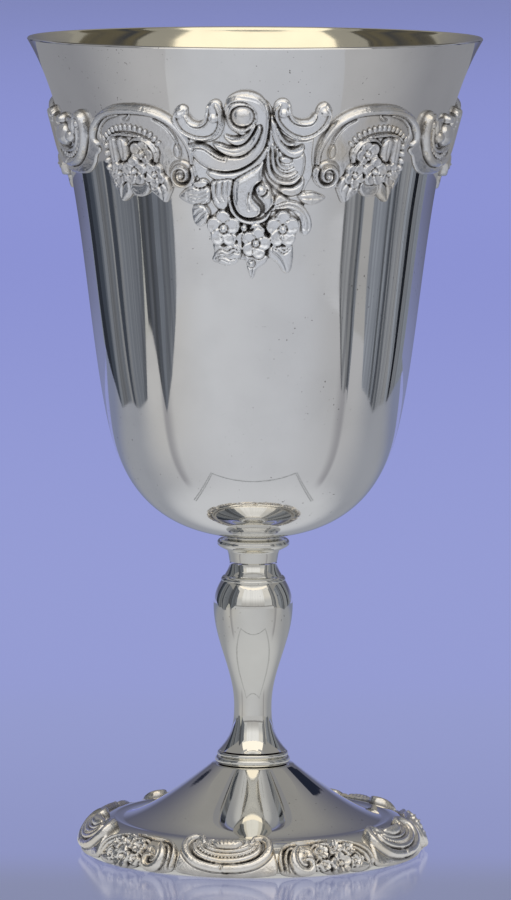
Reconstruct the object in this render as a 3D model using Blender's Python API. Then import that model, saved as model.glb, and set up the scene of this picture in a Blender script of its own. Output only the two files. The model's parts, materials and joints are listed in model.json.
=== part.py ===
"""Footed drinking goblet: raised bowl, cast borders, baluster stem and domed foot.

Metres, +Z up, origin on the table under the middle of the foot. The front
cartouche faces -Y. Every round piece is turned from an outline of
(radius, height) points, and every cast ornament is a relief drawn flat in
millimetres, then wrapped on the bowl or the foot.
"""
import bpy
import bmesh
import numpy as np
from math import cos, hypot, pi, radians, sin

MM = 0.001

# Joints between soldered pieces
SEAM = 0.3 * MM
DOWEL_RADIUS = 2.4 * MM
DOWEL_LENGTH = 3.0 * MM

# Foot
FOOT_RADIUS = 35.2 * MM
FOOT_EDGE_WIDTH = 6.6 * MM
FOOT_EDGE_HEIGHT = 7.1 * MM
FOOT_LINE_INSET = 1.4 * MM
FOOT_LINE_DEPTH = 0.3 * MM
FOOT_CONE_RISE = 11.5 * MM
FOOT_TOP_RADIUS = 7.2 * MM
FOOT_WALL = 1.0 * MM
FOOT_FLANGE_WIDTH = 2.6 * MM

# Ring between foot and stem
RING_RADIUS = 7.4 * MM
RING_BEAD_HEIGHT = 1.2 * MM
RING_BEAD_DEPTH = 0.4 * MM
RING_FILLET_HEIGHT = 1.1 * MM

# Baluster stem
STEM_FOOT_RADIUS = 7.0 * MM
STEM_FLARE_LENGTH = 9.2 * MM
STEM_WAIST_WALL = 1.2 * MM
STEM_SWELL_LENGTH = 20.8 * MM
BALUSTER_RADIUS = 8.05 * MM
STEM_SHOULDER_LENGTH = 9.35 * MM
STEM_NECK_WALL = 1.8 * MM

# Collar between stem and bowl
COLLAR_RADIUS = 7.4 * MM
COLLAR_DISC_HEIGHT = 2.45 * MM
COLLAR_COVE_HEIGHT = 2.35 * MM
COLLAR_WAIST_WALL = 2.25 * MM

# Bowl
BOWL_WALL = 0.9 * MM
BOTTOM_FULLNESS = 24.5 * MM
BELLY_RADIUS = 30.85 * MM
BELLY_HEIGHT = 26.65 * MM
BELLY_ROUNDNESS = 10.3 * MM
WALL_HEIGHT = 77.4 * MM
WALL_TAPER = 0.197
WALL_STRAIGHTNESS = 23.1 * MM
RIM_RADIUS = 47.05 * MM
RIM_LEAN = 0.608
RIM_FLARE_HEIGHT = 18.1 * MM

# Cast borders: each casting's sweep round the goblet, height and relief over the surface
BORDER_REPEATS = 5
BORDER_DROP = 20.0 * MM
CASTING_EDGE = 0.55 * MM
FRONT_SWEEP = radians(50.0)
FRONT_DEPTH = 38.0 * MM
FRONT_RELIEF = 2.6 * MM
SHELL_SWEEP = radians(38.2)
SHELL_DEPTH = 19.8 * MM
SHELL_RELIEF = 2.3 * MM
LUNETTE_DEPTH = 12.7 * MM
LUNETTE_RELIEF = 3.0 * MM
FOOT_BORDER_TURN = radians(-9.0)
FOOT_BORDER_LIFT = 0.3 * MM
FOOT_SHELL_SWEEP = radians(38.4)
FOOT_SHELL_RISE = radians(62.0)
FOOT_LUNETTE_RISE = radians(72.0)
FOOT_RELIEF = 1.7 * MM

# Fineness of the model
LARGE_STEPS = 48
SMALL_STEPS = 24
DRAWING_GRID = 0.5
FRONT_FACES = 1700
SHELL_FACES = 640
LUNETTE_FACES = 360
FOOT_SHELL_FACES = 400
FOOT_LUNETTE_FACES = 280

# Angle between two like castings
REPEAT_ANGLE = 2 * pi / BORDER_REPEATS

# Sizes of the dowels' bore and of the narrowest places round it
BORE_RADIUS = DOWEL_RADIUS + SEAM
STEM_WAIST_RADIUS = BORE_RADIUS + STEM_WAIST_WALL
STEM_NECK_RADIUS = BORE_RADIUS + STEM_NECK_WALL
COLLAR_WAIST_RADIUS = BORE_RADIUS + COLLAR_WAIST_WALL

# Heights of the stacked pieces above the table
FOOT_LINE_Z = FOOT_EDGE_HEIGHT - FOOT_LINE_DEPTH
FOOT_HEIGHT = FOOT_LINE_Z + FOOT_CONE_RISE
RING_Z = FOOT_HEIGHT + SEAM
STEM_Z = RING_Z + RING_BEAD_HEIGHT + RING_FILLET_HEIGHT + SEAM
BALUSTER_Z = STEM_Z + STEM_FLARE_LENGTH + STEM_SWELL_LENGTH
STEM_TOP_Z = BALUSTER_Z + STEM_SHOULDER_LENGTH
COLLAR_Z = STEM_TOP_Z + SEAM
BOWL_Z = COLLAR_Z + COLLAR_COVE_HEIGHT + COLLAR_DISC_HEIGHT + SEAM
BELLY_Z = BOWL_Z + BELLY_HEIGHT
RIM_Z = BELLY_Z + WALL_HEIGHT


def clear_scene():
    """Start from an empty scene."""
    for item in list(bpy.data.objects):
        bpy.data.objects.remove(item, do_unlink=True)


def metal(name, color, roughness):
    """A polished metal of one colour."""
    material = bpy.data.materials.new(name)
    material.use_nodes = True
    shader = material.node_tree.nodes["Principled BSDF"]
    shader.inputs["Base Color"].default_value = (*color, 1.0)
    shader.inputs["Metallic"].default_value = 1.0
    shader.inputs["Roughness"].default_value = roughness
    return material


def add_object(name, mesh, material, turn=0.0):
    """Put a mesh in the scene under a name, turned about the goblet's axis."""
    item = bpy.data.objects.new(name, mesh)
    item.rotation_euler = (0.0, 0.0, turn)
    bpy.context.scene.collection.objects.link(item)
    if not mesh.materials:
        mesh.materials.append(material)
    mesh.shade_smooth()
    mesh.set_sharp_from_angle(angle=radians(35))
    return item


def bezier(start, lead, trail, end, count):
    """Points of a cubic curve from start to end, without its last point."""
    points = []
    for index in range(count):
        t = index / count
        weights = ((1 - t) ** 3, 3 * (1 - t) ** 2 * t, 3 * (1 - t) * t ** 2, t ** 3)
        corners = (start, lead, trail, end)
        points.append(tuple(sum(w * c[axis] for w, c in zip(weights, corners)) for axis in (0, 1)))
    return points


def arc(centre, radii, first, last, count):
    """Points of an ellipse's arc, angles in degrees from the outward direction."""
    points = []
    for index in range(count + 1):
        angle = radians(first + (last - first) * index / count)
        points.append((centre[0] + radii[0] * cos(angle), centre[1] + radii[1] * sin(angle)))
    return points


def inset(outline, distance):
    """The outline moved inwards, to the left of its direction of travel."""
    moved = []
    for index, (radius, height) in enumerate(outline):
        before = outline[max(index - 1, 0)]
        after = outline[min(index + 1, len(outline) - 1)]
        along = (after[0] - before[0], after[1] - before[1])
        length = hypot(*along)
        moved.append((radius - distance * along[1] / length, height + distance * along[0] / length))
    return moved


def turned(name, outline, steps, material):
    """A closed outline of (radius, height) points turned once round the axis."""
    shape = bmesh.new()
    rings = []
    for radius, height in outline:
        if radius < 1e-9:
            rings.append([shape.verts.new((0.0, 0.0, height))])
            continue
        angles = [2 * pi * step / steps for step in range(steps)]
        rings.append([shape.verts.new((radius * cos(a), radius * sin(a), height)) for a in angles])
    open_ended = len(rings[0]) == 1 and len(rings[-1]) == 1
    pairs = list(zip(rings, rings[1:]))
    if not open_ended:
        pairs.append((rings[-1], rings[0]))
    for lower, upper in pairs:
        for step in range(steps):
            after = (step + 1) % steps
            corners = [lower[step % len(lower)], lower[after % len(lower)],
                       upper[after % len(upper)], upper[step % len(upper)]]
            shape.faces.new(list(dict.fromkeys(corners)))
    bmesh.ops.recalc_face_normals(shape, faces=shape.faces)
    mesh = bpy.data.meshes.new(name)
    shape.to_mesh(mesh)
    shape.free()
    return add_object(name, mesh, material)


def bowl_outline():
    """The bowl's outside, from the middle of its bottom up to the lip."""
    belly = (BELLY_RADIUS, BELLY_Z)
    lip = (RIM_RADIUS, RIM_Z - BOWL_WALL / 2)
    bottom = bezier((0.0, BOWL_Z), (BOTTOM_FULLNESS, BOWL_Z),
                    (BELLY_RADIUS - WALL_TAPER * BELLY_ROUNDNESS, BELLY_Z - BELLY_ROUNDNESS), belly, 8)
    flare = bezier(belly,
                   (BELLY_RADIUS + WALL_TAPER * WALL_STRAIGHTNESS, BELLY_Z + WALL_STRAIGHTNESS),
                   (RIM_RADIUS - RIM_LEAN * RIM_FLARE_HEIGHT, lip[1] - RIM_FLARE_HEIGHT), lip, 11)
    return bottom + flare + [lip]


def make_bowl(silver):
    """Raised cup of even wall, its lip rounded over."""
    outside = bowl_outline()
    inside = inset(outside, BOWL_WALL)[2:-1:2]
    half = BOWL_WALL / 2
    lip = arc((RIM_RADIUS - half, RIM_Z - half), (half, half), 45, 180, 3)
    outline = outside + lip + inside[::-1] + [(0.0, BOWL_Z + BOWL_WALL)]
    return turned("bowl", outline, LARGE_STEPS, silver)


def make_collar(silver):
    """Turned collar under the bowl, with a dowel that enters the stem."""
    disc_z = COLLAR_Z + COLLAR_COVE_HEIGHT
    top_z = disc_z + COLLAR_DISC_HEIGHT
    hollow = (COLLAR_RADIUS + COLLAR_WAIST_RADIUS) / 2
    dowel_end = COLLAR_Z - DOWEL_LENGTH
    dowel = [(0.0, dowel_end), (DOWEL_RADIUS, dowel_end), (DOWEL_RADIUS, COLLAR_Z)]
    cove = bezier((STEM_NECK_RADIUS, COLLAR_Z), (COLLAR_WAIST_RADIUS, COLLAR_Z + COLLAR_COVE_HEIGHT / 2),
                  (COLLAR_WAIST_RADIUS, disc_z - SEAM), (COLLAR_WAIST_RADIUS + SEAM, disc_z), 4)
    disc = bezier((COLLAR_WAIST_RADIUS + SEAM, disc_z), (hollow, disc_z + COLLAR_DISC_HEIGHT / 5),
                  (COLLAR_RADIUS, disc_z + COLLAR_DISC_HEIGHT / 3), (COLLAR_RADIUS, top_z - SEAM), 5)
    top = [(COLLAR_RADIUS, top_z - SEAM), (COLLAR_RADIUS - SEAM, top_z), (0.0, top_z)]
    return turned("stem_collar", dowel + cove + disc + top, SMALL_STEPS, silver)


def make_stem(silver):
    """Baluster stem with a straight bore for the dowels at both ends."""
    waist_z = STEM_Z + STEM_FLARE_LENGTH
    outside = []
    for step in range(5):
        share = 1 - step / 5
        radius = STEM_WAIST_RADIUS + (STEM_FOOT_RADIUS - STEM_WAIST_RADIUS) * share ** 2.8
        outside.append((radius, STEM_Z + STEM_FLARE_LENGTH * (1 - share)))
    for step in range(8):
        share = (1 - cos(pi * step / 8)) / 2
        radius = STEM_WAIST_RADIUS + (BALUSTER_RADIUS - STEM_WAIST_RADIUS) * share
        outside.append((radius, waist_z + STEM_SWELL_LENGTH * step / 8))
    neck = (STEM_NECK_RADIUS, STEM_TOP_Z)
    shoulder = bezier((BALUSTER_RADIUS, BALUSTER_Z),
                      (BALUSTER_RADIUS, BALUSTER_Z + STEM_SHOULDER_LENGTH * 0.53),
                      (STEM_NECK_RADIUS, STEM_TOP_Z - STEM_SHOULDER_LENGTH * 0.23), neck, 6)
    bore = [neck, (BORE_RADIUS, STEM_TOP_Z), (BORE_RADIUS, STEM_Z)]
    return turned("stem", outside + shoulder + bore, SMALL_STEPS, silver)


def make_ring(silver):
    """Moulded ring on the foot, with dowels up into the stem and down into the foot."""
    groove_z = RING_Z + RING_BEAD_HEIGHT
    top_z = groove_z + RING_FILLET_HEIGHT
    bead = arc((RING_RADIUS - RING_BEAD_DEPTH, RING_Z + RING_BEAD_HEIGHT / 2),
               (RING_BEAD_DEPTH, RING_BEAD_HEIGHT / 2), -90, 90, 5)
    fillet = [(STEM_FOOT_RADIUS, groove_z + SEAM), (STEM_FOOT_RADIUS, top_z)]
    upper_end = top_z + DOWEL_LENGTH
    upper_dowel = [(DOWEL_RADIUS, top_z), (DOWEL_RADIUS, upper_end), (0.0, upper_end)]
    lower_end = RING_Z - SEAM - FOOT_WALL
    lower_dowel = [(0.0, lower_end), (DOWEL_RADIUS, lower_end), (DOWEL_RADIUS, RING_Z)]
    return turned("stem_base_ring", lower_dowel + bead + fillet + upper_dowel, SMALL_STEPS, silver)


def foot_edge(angle):
    """Point and outward direction on the foot's rounded edge, from the table up to a right angle."""
    point = (FOOT_RADIUS - FOOT_EDGE_WIDTH * (1 - cos(angle)), FOOT_EDGE_HEIGHT * sin(angle))
    outward = (cos(angle) * FOOT_EDGE_HEIGHT, sin(angle) * FOOT_EDGE_WIDTH)
    length = hypot(*outward)
    return point, (outward[0] / length, outward[1] / length)


def make_foot(silver):
    """Spun foot: coned middle, a fine line, a rounded edge and a flange to stand on."""
    edge = [foot_edge(pi / 2 * step / 7)[0] for step in range(8)]
    line = FOOT_RADIUS - FOOT_EDGE_WIDTH - FOOT_LINE_INSET
    span = line - FOOT_TOP_RADIUS
    top_edge = (FOOT_TOP_RADIUS, FOOT_HEIGHT)
    cone = bezier((line, FOOT_LINE_Z), (line - span * 0.27, FOOT_LINE_Z + FOOT_CONE_RISE * 0.08),
                  (FOOT_TOP_RADIUS + span * 0.19, FOOT_HEIGHT - FOOT_CONE_RISE * 0.26), top_edge, 7)
    outside = edge + cone + [top_edge]
    hidden = inset(outside, FOOT_WALL)[2:-1:2]
    ceiling = FOOT_HEIGHT - FOOT_WALL
    top = [(FOOT_TOP_RADIUS - FOOT_WALL, ceiling), (BORE_RADIUS, ceiling), (BORE_RADIUS, FOOT_HEIGHT)]
    flange = FOOT_RADIUS - FOOT_FLANGE_WIDTH
    under = [(FOOT_RADIUS - 1.5 * FOOT_WALL, FOOT_WALL), (flange, FOOT_WALL), (flange, 0.0)]
    return turned("foot_dome", outside + top[::-1] + hidden[::-1] + under, LARGE_STEPS, silver)


class Drawing:
    """A casting drawn flat as raised strokes, in its own units with z up from its datum line."""

    def __init__(self, draw):
        self.strokes = []
        draw(self)

    def ridge(self, stations, bluntness=0.5):
        """A raised stroke through stations of (x, z, half width, height)."""
        self.strokes.append((smooth_path(stations), bluntness))

    def boss(self, x, z, radius, height):
        """A round raised button."""
        self.ridge([(x, z, radius, height), (x + 0.01, z, radius, height)], bluntness=1.0)

    def blossom(self, x, z, radius, height, turn=90):
        """Five petals round a seed."""
        for petal in range(5):
            angle = radians(turn + 72 * petal)
            reach = radius * 0.6
            self.boss(x + reach * cos(angle), z + reach * sin(angle), radius * 0.42, height)
        self.boss(x, z, radius * 0.26, height * 1.15)

    def ground(self, stations):
        """Plain backing no higher than the casting's edge, through stations of (x, z, half width)."""
        self.ridge([(x, z, half_width, 0.0) for x, z, half_width in stations])

    def extent(self):
        """Half width, lowest and highest point, and greatest height of the strokes."""
        points = np.vstack([path for path, _ in self.strokes])
        half_width = (np.abs(points[:, 0]) + points[:, 2]).max()
        low = (points[:, 1] - points[:, 2]).min()
        high = (points[:, 1] + points[:, 2]).max()
        return half_width, low, high, points[:, 3].max()

    def relief(self, across, up):
        """How far each point is inside the outline, and the height there."""
        cover = np.full(across.shape, -9.0)
        height = np.zeros(across.shape)
        for path, bluntness in self.strokes:
            for first, second in zip(path, path[1:]):
                run_x, run_z = second[:2] - first[:2]
                share = ((across - first[0]) * run_x + (up - first[1]) * run_z) / (run_x ** 2 + run_z ** 2)
                share = np.clip(share, 0.0, 1.0)
                away = np.hypot(across - first[0] - share * run_x, up - first[1] - share * run_z)
                width, top = (first[axis] + share * (second[axis] - first[axis]) for axis in (2, 3))
                crown = np.sqrt(np.clip(1.0 - (away / width) ** 2, 0.0, 1.0)) ** bluntness
                cover = np.maximum(cover, width - away)
                height = np.maximum(height, top * crown)
        return cover, height


def smooth_path(stations, step=0.9):
    """A smooth curve through the stations, as closely spaced points."""
    points = np.array(stations, dtype=float)
    if len(points) < 3:
        return points
    padded = np.vstack([2 * points[0] - points[1], points, 2 * points[-1] - points[-2]])
    path = []
    for index in range(1, len(padded) - 2):
        before, first, second, after = padded[index - 1:index + 3]
        count = max(int(np.hypot(*(second - first)[:2]) / step), 1)
        for part in range(count):
            t = part / count
            path.append(0.5 * (2 * first + (second - before) * t
                               + (2 * before - 5 * first + 4 * second - after) * t ** 2
                               + (3 * first - before - 3 * second + after) * t ** 3))
    path.append(points[-1])
    return np.array(path)


def spiral(x, z, radius, end_radius, first, turns, half_width, height):
    """Stations of a scroll winding in to its eye, angles in degrees, anticlockwise if turns > 0."""
    count = max(int(abs(turns) * 10), 3)
    stations = []
    for index in range(count + 1):
        share = index / count
        angle = radians(first + 360 * turns * share)
        reach = radius + (end_radius - radius) * share
        stations.append((x + reach * cos(angle), z + reach * sin(angle), half_width, height))
    return stations


def casting_mesh(name, drawing, wrap, relief, faces, clear_of=None):
    """Close a drawing into a relief with a back, wrap it, and thin it to a number of faces."""
    half_width, low, high, tallest = drawing.extent()
    columns = np.arange(-half_width - DRAWING_GRID, half_width + 2 * DRAWING_GRID, DRAWING_GRID)
    lines = np.arange(low - DRAWING_GRID, high + 2 * DRAWING_GRID, DRAWING_GRID)
    grid_x, grid_z = np.meshgrid(columns, lines)
    cover, height = drawing.relief(grid_x, grid_z)
    if clear_of:
        cover = np.minimum(cover, clear_of(grid_x, grid_z))
    height = np.maximum(height / tallest * relief, CASTING_EDGE)
    shape = bmesh.new()
    made = {}

    def vertex(first, second=None):
        """The front and back vertex at a grid point, or where the outline crosses a grid line."""
        key = (first, second) if second is None else (min(first, second), max(first, second))
        if key not in made:
            x, z, top = columns[first[1]], lines[first[0]], height[first]
            if second is not None:
                share = min(max(cover[first] / (cover[first] - cover[second]), 0.15), 0.85)
                x += share * (columns[second[1]] - x)
                z += share * (lines[second[0]] - z)
                top = CASTING_EDGE
            made[key] = (shape.verts.new(wrap(x, z, SEAM + top)), shape.verts.new(wrap(x, z, SEAM)))
        return made[key]

    for row in range(len(lines) - 1):
        for column in range(len(columns) - 1):
            low_left, low_right = (row, column), (row, column + 1)
            up_left, up_right = (row + 1, column), (row + 1, column + 1)
            for triangle in ((low_left, low_right, up_right), (low_left, up_right, up_left)):
                polygon, cuts = [], []
                for first, second in zip(triangle, triangle[1:] + triangle[:1]):
                    inside, leaves = cover[first] > 0, cover[second] <= 0
                    if inside:
                        polygon.append(vertex(first))
                    if inside and leaves:
                        polygon.append(vertex(first, second))
                        cuts.insert(0, polygon[-1])
                    if not inside and not leaves:
                        polygon.append(vertex(second, first))
                        cuts.append(polygon[-1])
                if len(polygon) > 2:
                    shape.faces.new([pair[0] for pair in polygon])
                    shape.faces.new([pair[1] for pair in reversed(polygon)])
                if len(cuts) == 2:
                    start, end = cuts
                    shape.faces.new([start[1], end[1], end[0], start[0]])
    bmesh.ops.triangulate(shape, faces=shape.faces)
    bmesh.ops.recalc_face_normals(shape, faces=shape.faces)
    mesh = bpy.data.meshes.new(name)
    shape.to_mesh(mesh)
    shape.free()
    return thinned(mesh, faces)


def thinned(mesh, faces):
    """The same shape with about the given number of faces."""
    item = bpy.data.objects.new(mesh.name, mesh)
    bpy.context.scene.collection.objects.link(item)
    modifier = item.modifiers.new("thin", "DECIMATE")
    modifier.ratio = min(faces / len(mesh.polygons), 1.0)
    depsgraph = bpy.context.evaluated_depsgraph_get()
    result = bpy.data.meshes.new_from_object(item.evaluated_get(depsgraph))
    bpy.data.objects.remove(item, do_unlink=True)
    result.name = mesh.name
    bpy.data.meshes.remove(mesh)
    return result


def wall_place(height):
    """Radius of the bowl's outside at a height, and its outward direction."""
    radii, heights = zip(*bowl_outline())
    below, radius, above = np.interp((height - MM, height, height + MM), heights, radii)
    length = hypot(2 * MM, above - below)
    return radius, (2 * MM / length, (below - above) / length)


def bowl_wrap(drawing, sweep, depth):
    """Place a drawing round the bowl: its width becomes the sweep, its height the depth."""
    half_width, low, high, _ = drawing.extent()
    heights = {}

    def wrap(x, z, lift):
        height = RIM_Z - BORDER_DROP + z * depth / (high - low)
        key = round(height, 7)
        if key not in heights:
            heights[key] = wall_place(height)
        radius, outward = heights[key]
        turn = x / half_width * sweep / 2
        reach = radius + lift * outward[0]
        return (reach * sin(turn), -reach * cos(turn), height + lift * outward[1])

    return wrap


def foot_wrap(drawing, sweep, rise):
    """Place a drawing round the foot: its height runs up the rounded edge as far as the rise."""
    half_width, _, high, _ = drawing.extent()

    def wrap(x, z, lift):
        point, outward = foot_edge(max(z, 0.0) / high * rise)
        turn = x / half_width * sweep / 2
        reach = point[0] + lift * outward[0]
        height = max(point[1] + lift * outward[1], FOOT_BORDER_LIFT)
        return (reach * sin(turn), -reach * cos(turn), height)

    return wrap


def draw_front(drawing):
    """Front cartouche: plume, scrolls, stacked leaf tongues, bud and three blossoms."""
    drawing.ground([(0, 7.0, 4.5), (0, 0.0, 6.5), (-1, -6.0, 7.0), (-1, -12.0, 7.0), (0, -17.0, 7.0),
                    (0, -20.0, 6.0)])
    drawing.ridge(spiral(-2.6, 6.8, 3.9, 2.6, 40, 0.95, 0.9, 2.2))
    drawing.boss(-2.7, 6.8, 1.7, 2.6)
    drawing.ridge([(0.4, 9.8, 1.0, 2.2), (1.4, 7.0, 1.5, 2.3), (1.6, 3.5, 1.6, 2.3),
                   (0.6, 0.2, 2.2, 2.2), (-3.5, -3.1, 2.1, 2.0), (-8.0, -3.2, 1.9, 1.9),
                   (-11.5, -2.0, 1.6, 1.8), (-13.5, -0.4, 0.8, 1.8)])
    drawing.ridge([(-0.4, 3.6, 0.6, 2.0), (-3.0, 1.4, 0.6, 1.9), (-6.2, 2.0, 0.5, 1.6)])
    drawing.ridge([(-0.3, 1.4, 0.6, 2.1), (-4.0, -0.9, 0.6, 1.9), (-8.8, 0.4, 0.5, 1.7)])
    drawing.ridge([(1.6, -1.6, 0.6, 1.8), (-2.5, -5.0, 0.6, 1.7), (-7.0, -6.1, 0.6, 1.7),
                   (-9.9, -5.3, 0.5, 1.5)])
    for middle, lift in ((-12.2, 0.0), (9.8, 0.4)):
        drawing.ridge([(middle - 4.0, 7.0 + lift, 1.0, 1.9), (middle - 4.4, 4.6 + lift, 1.3, 1.8),
                       (middle - 1.8, 2.7 + lift, 1.3, 1.7), (middle + 1.8, 2.7 + lift, 1.3, 1.7),
                       (middle + 4.4, 4.6 + lift, 1.3, 1.8), (middle + 4.4, 7.3 + lift, 1.1, 1.9)])
        drawing.boss(middle - 3.4, 7.0 + lift, 1.1, 2.4)
        drawing.boss(middle + 3.6, 6.6 + lift, 1.1, 2.4)
    drawing.ridge([(3.4, 5.0, 0.6, 1.6), (4.2, 0.8, 0.8, 1.7), (7.0, -1.0, 0.9, 1.8),
                   (9.8, 0.2, 0.7, 1.6)])
    drawing.ridge([(3.0, 0.5, 0.7, 1.7), (3.4, -4.4, 0.8, 1.8), (6.2, -7.0, 0.9, 1.9),
                   (9.4, -5.2, 0.6, 1.7)])
    drawing.boss(6.6, -3.2, 1.6, 1.8)
    drawing.ridge([(2.3, -2.5, 0.5, 1.6), (3.4, -8.0, 0.7, 1.7), (7.2, -9.2, 0.9, 1.8),
                   (10.4, -7.6, 0.5, 1.5)])
    drawing.boss(6.0, -10.8, 1.0, 1.6)
    drawing.ridge([(0.2, -5.0, 2.0, 1.7), (-3.2, -8.4, 1.7, 2.0), (-3.8, -11.8, 1.5, 2.3),
                   (-0.8, -13.6, 1.2, 2.3), (1.8, -12.0, 0.9, 2.0)])
    drawing.boss(1.4, -8.8, 1.3, 2.6)
    drawing.ridge([(2.8, -9.8, 0.6, 1.8), (3.0, -13.4, 0.6, 1.6), (-0.5, -15.3, 0.6, 1.5),
                   (-5.2, -13.0, 0.6, 1.5), (-5.7, -8.0, 0.5, 1.5)])
    drawing.ridge([(-7.8, -7.4, 0.8, 1.5), (-8.6, -10.4, 0.9, 1.6), (-7.0, -12.2, 0.8, 1.6)])
    drawing.ridge([(-9.6, -9.2, 1.9, 1.5), (-13.2, -9.8, 2.0, 1.5), (-16.6, -10.7, 0.5, 1.2)])
    drawing.ridge([(-10.4, -7.4, 0.7, 1.4), (-13.6, -7.7, 0.5, 1.3)])
    drawing.ridge([(-9.6, -12.8, 1.6, 1.5), (-12.0, -14.2, 1.5, 1.4), (-13.6, -15.7, 0.4, 1.2)])
    drawing.ridge([(9.4, -10.4, 1.2, 1.5), (12.8, -10.6, 1.4, 1.5), (15.6, -10.3, 0.4, 1.2)])
    drawing.ridge([(4.6, -12.4, 0.8, 1.5), (8.0, -12.0, 1.2, 1.7), (11.2, -13.8, 1.3, 1.7),
                   (11.9, -16.8, 0.9, 1.5), (10.8, -17.7, 0.5, 1.3)])
    drawing.blossom(-7.1, -16.5, 3.3, 1.9)
    drawing.blossom(6.3, -16.6, 3.3, 1.9)
    drawing.blossom(0.2, -19.2, 3.5, 1.9, -24.0)
    drawing.ridge([(-5.2, -21.1, 1.3, 1.4), (-7.4, -21.8, 1.7, 1.5), (-9.6, -22.8, 0.5, 1.2)])
    drawing.ridge([(-4.0, -22.2, 1.2, 1.3), (-7.4, -23.0, 0.8, 1.3)])
    drawing.ridge([(0.4, -22.4, 1.9, 1.5), (-0.2, -24.4, 1.2, 1.4), (-0.6, -26.4, 0.35, 1.1)])
    drawing.ridge([(4.6, -21.0, 1.4, 1.4), (6.8, -22.4, 1.8, 1.5), (7.9, -25.0, 0.5, 1.2)])


def draw_shell(drawing):
    """Shell cartouche: arched rim ending in a scroll, beads, an inner arch and blossoms."""
    drawing.ground([(-8.0, -4.5, 4.0), (-7.5, 0.0, 3.5), (-2.5, 1.5, 4.5), (3.5, 1.5, 4.5),
                    (9.0, 0.3, 3.0), (11.0, -1.2, 1.4)])
    drawing.ground([(-5.5, -7.5, 3.0), (0.0, -6.5, 3.2), (6.0, -6.5, 3.0)])
    drawing.ridge([(-12.9, -5.6, 0.7, 1.6), (-12.8, -2.6, 0.7, 1.7), (-11.5, 0.8, 0.8, 1.8),
                   (-9.0, 4.0, 0.9, 1.9), (-5.8, 6.4, 1.0, 2.0), (-1.5, 7.2, 1.0, 2.0),
                   (3.5, 6.9, 0.9, 1.9), (8.0, 5.6, 0.9, 1.9), (11.4, 3.2, 0.9, 1.9),
                   (12.7, 0.8, 0.8, 1.7), (12.0, -0.6, 0.6, 1.5)])
    drawing.ridge(spiral(-9.8, -5.9, 3.1, 2.3, 180, 1.0, 0.6, 1.6))
    drawing.boss(-9.8, -6.0, 1.4, 1.9)
    drawing.ridge([(-7.6, 3.2, 0.4, 1.3), (-9.2, 0.8, 0.5, 1.4), (-9.4, -1.1, 0.9, 1.6)])
    drawing.ridge([(10.2, 3.9, 0.4, 1.4), (11.2, 2.0, 0.6, 1.5), (10.6, 0.6, 0.5, 1.4)])
    drawing.ridge([(-5.6, -0.3, 0.6, 1.4), (-3.0, 1.7, 0.6, 1.4), (1.5, 2.8, 0.6, 1.4),
                   (6.0, 2.3, 0.6, 1.4), (9.0, 0.8, 0.6, 1.4)])
    drawing.ridge([(-5.2, -3.0, 0.5, 1.6), (-4.6, -0.6, 0.5, 1.6), (-1.0, 1.2, 0.5, 1.6),
                   (4.4, 1.1, 0.5, 1.6), (7.6, -0.2, 0.5, 1.6)])
    drawing.blossom(0.2, -3.8, 3.0, 2.0)
    drawing.blossom(4.9, -1.7, 1.9, 1.8, 60)
    drawing.blossom(5.6, -7.7, 2.4, 1.8, 50)
    drawing.blossom(-4.6, -8.4, 2.4, 1.8, -30.0)
    drawing.boss(0.6, -8.0, 1.2, 1.5)
    drawing.boss(-3.0, -2.0, 1.2, 1.6)
    drawing.ridge([(6.6, -9.4, 1.2, 1.3), (7.6, -11.1, 0.4, 1.1)])
    drawing.ridge([(-5.0, -10.2, 1.2, 1.3), (-5.4, -11.4, 0.5, 1.1)])


def draw_lunette(drawing):
    """Lunette: a hooked outer rim, an inner rim, a beaded band and a ball over a plain skirt."""
    drawing.ground([(-8.6, -2.8, 2.9), (-4.5, -4.2, 3.1), (0.0, -4.4, 3.1), (4.5, -4.2, 3.1),
                    (8.6, -2.8, 2.9)])
    drawing.ground([(-9.0, 0.2, 2.4), (-5.0, 0.8, 3.4), (0.0, 1.0, 3.4), (5.0, 0.8, 3.4),
                    (9.0, 0.2, 2.4)])
    for side in (-1, 1):
        drawing.ridge([(side * 7.6, 3.4, 0.8, 2.4), (side * 9.4, 4.2, 0.9, 2.5),
                       (side * 10.3, 2.6, 0.9, 2.2), (side * 9.8, 0.0, 0.9, 2.0),
                       (side * 7.4, -2.6, 0.9, 1.8), (side * 3.8, -4.1, 0.9, 1.7),
                       (0.0, -4.6, 0.9, 1.7)])
        drawing.ridge([(side * 7.6, 1.4, 0.6, 1.9), (side * 6.4, -0.6, 0.6, 1.7),
                       (side * 3.4, -2.0, 0.6, 1.6), (0.0, -2.4, 0.6, 1.6)])
        drawing.boss(side * 2.3, 3.0, 1.3, 2.8)
    drawing.boss(0.0, 1.4, 2.4, 3.0)


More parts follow.
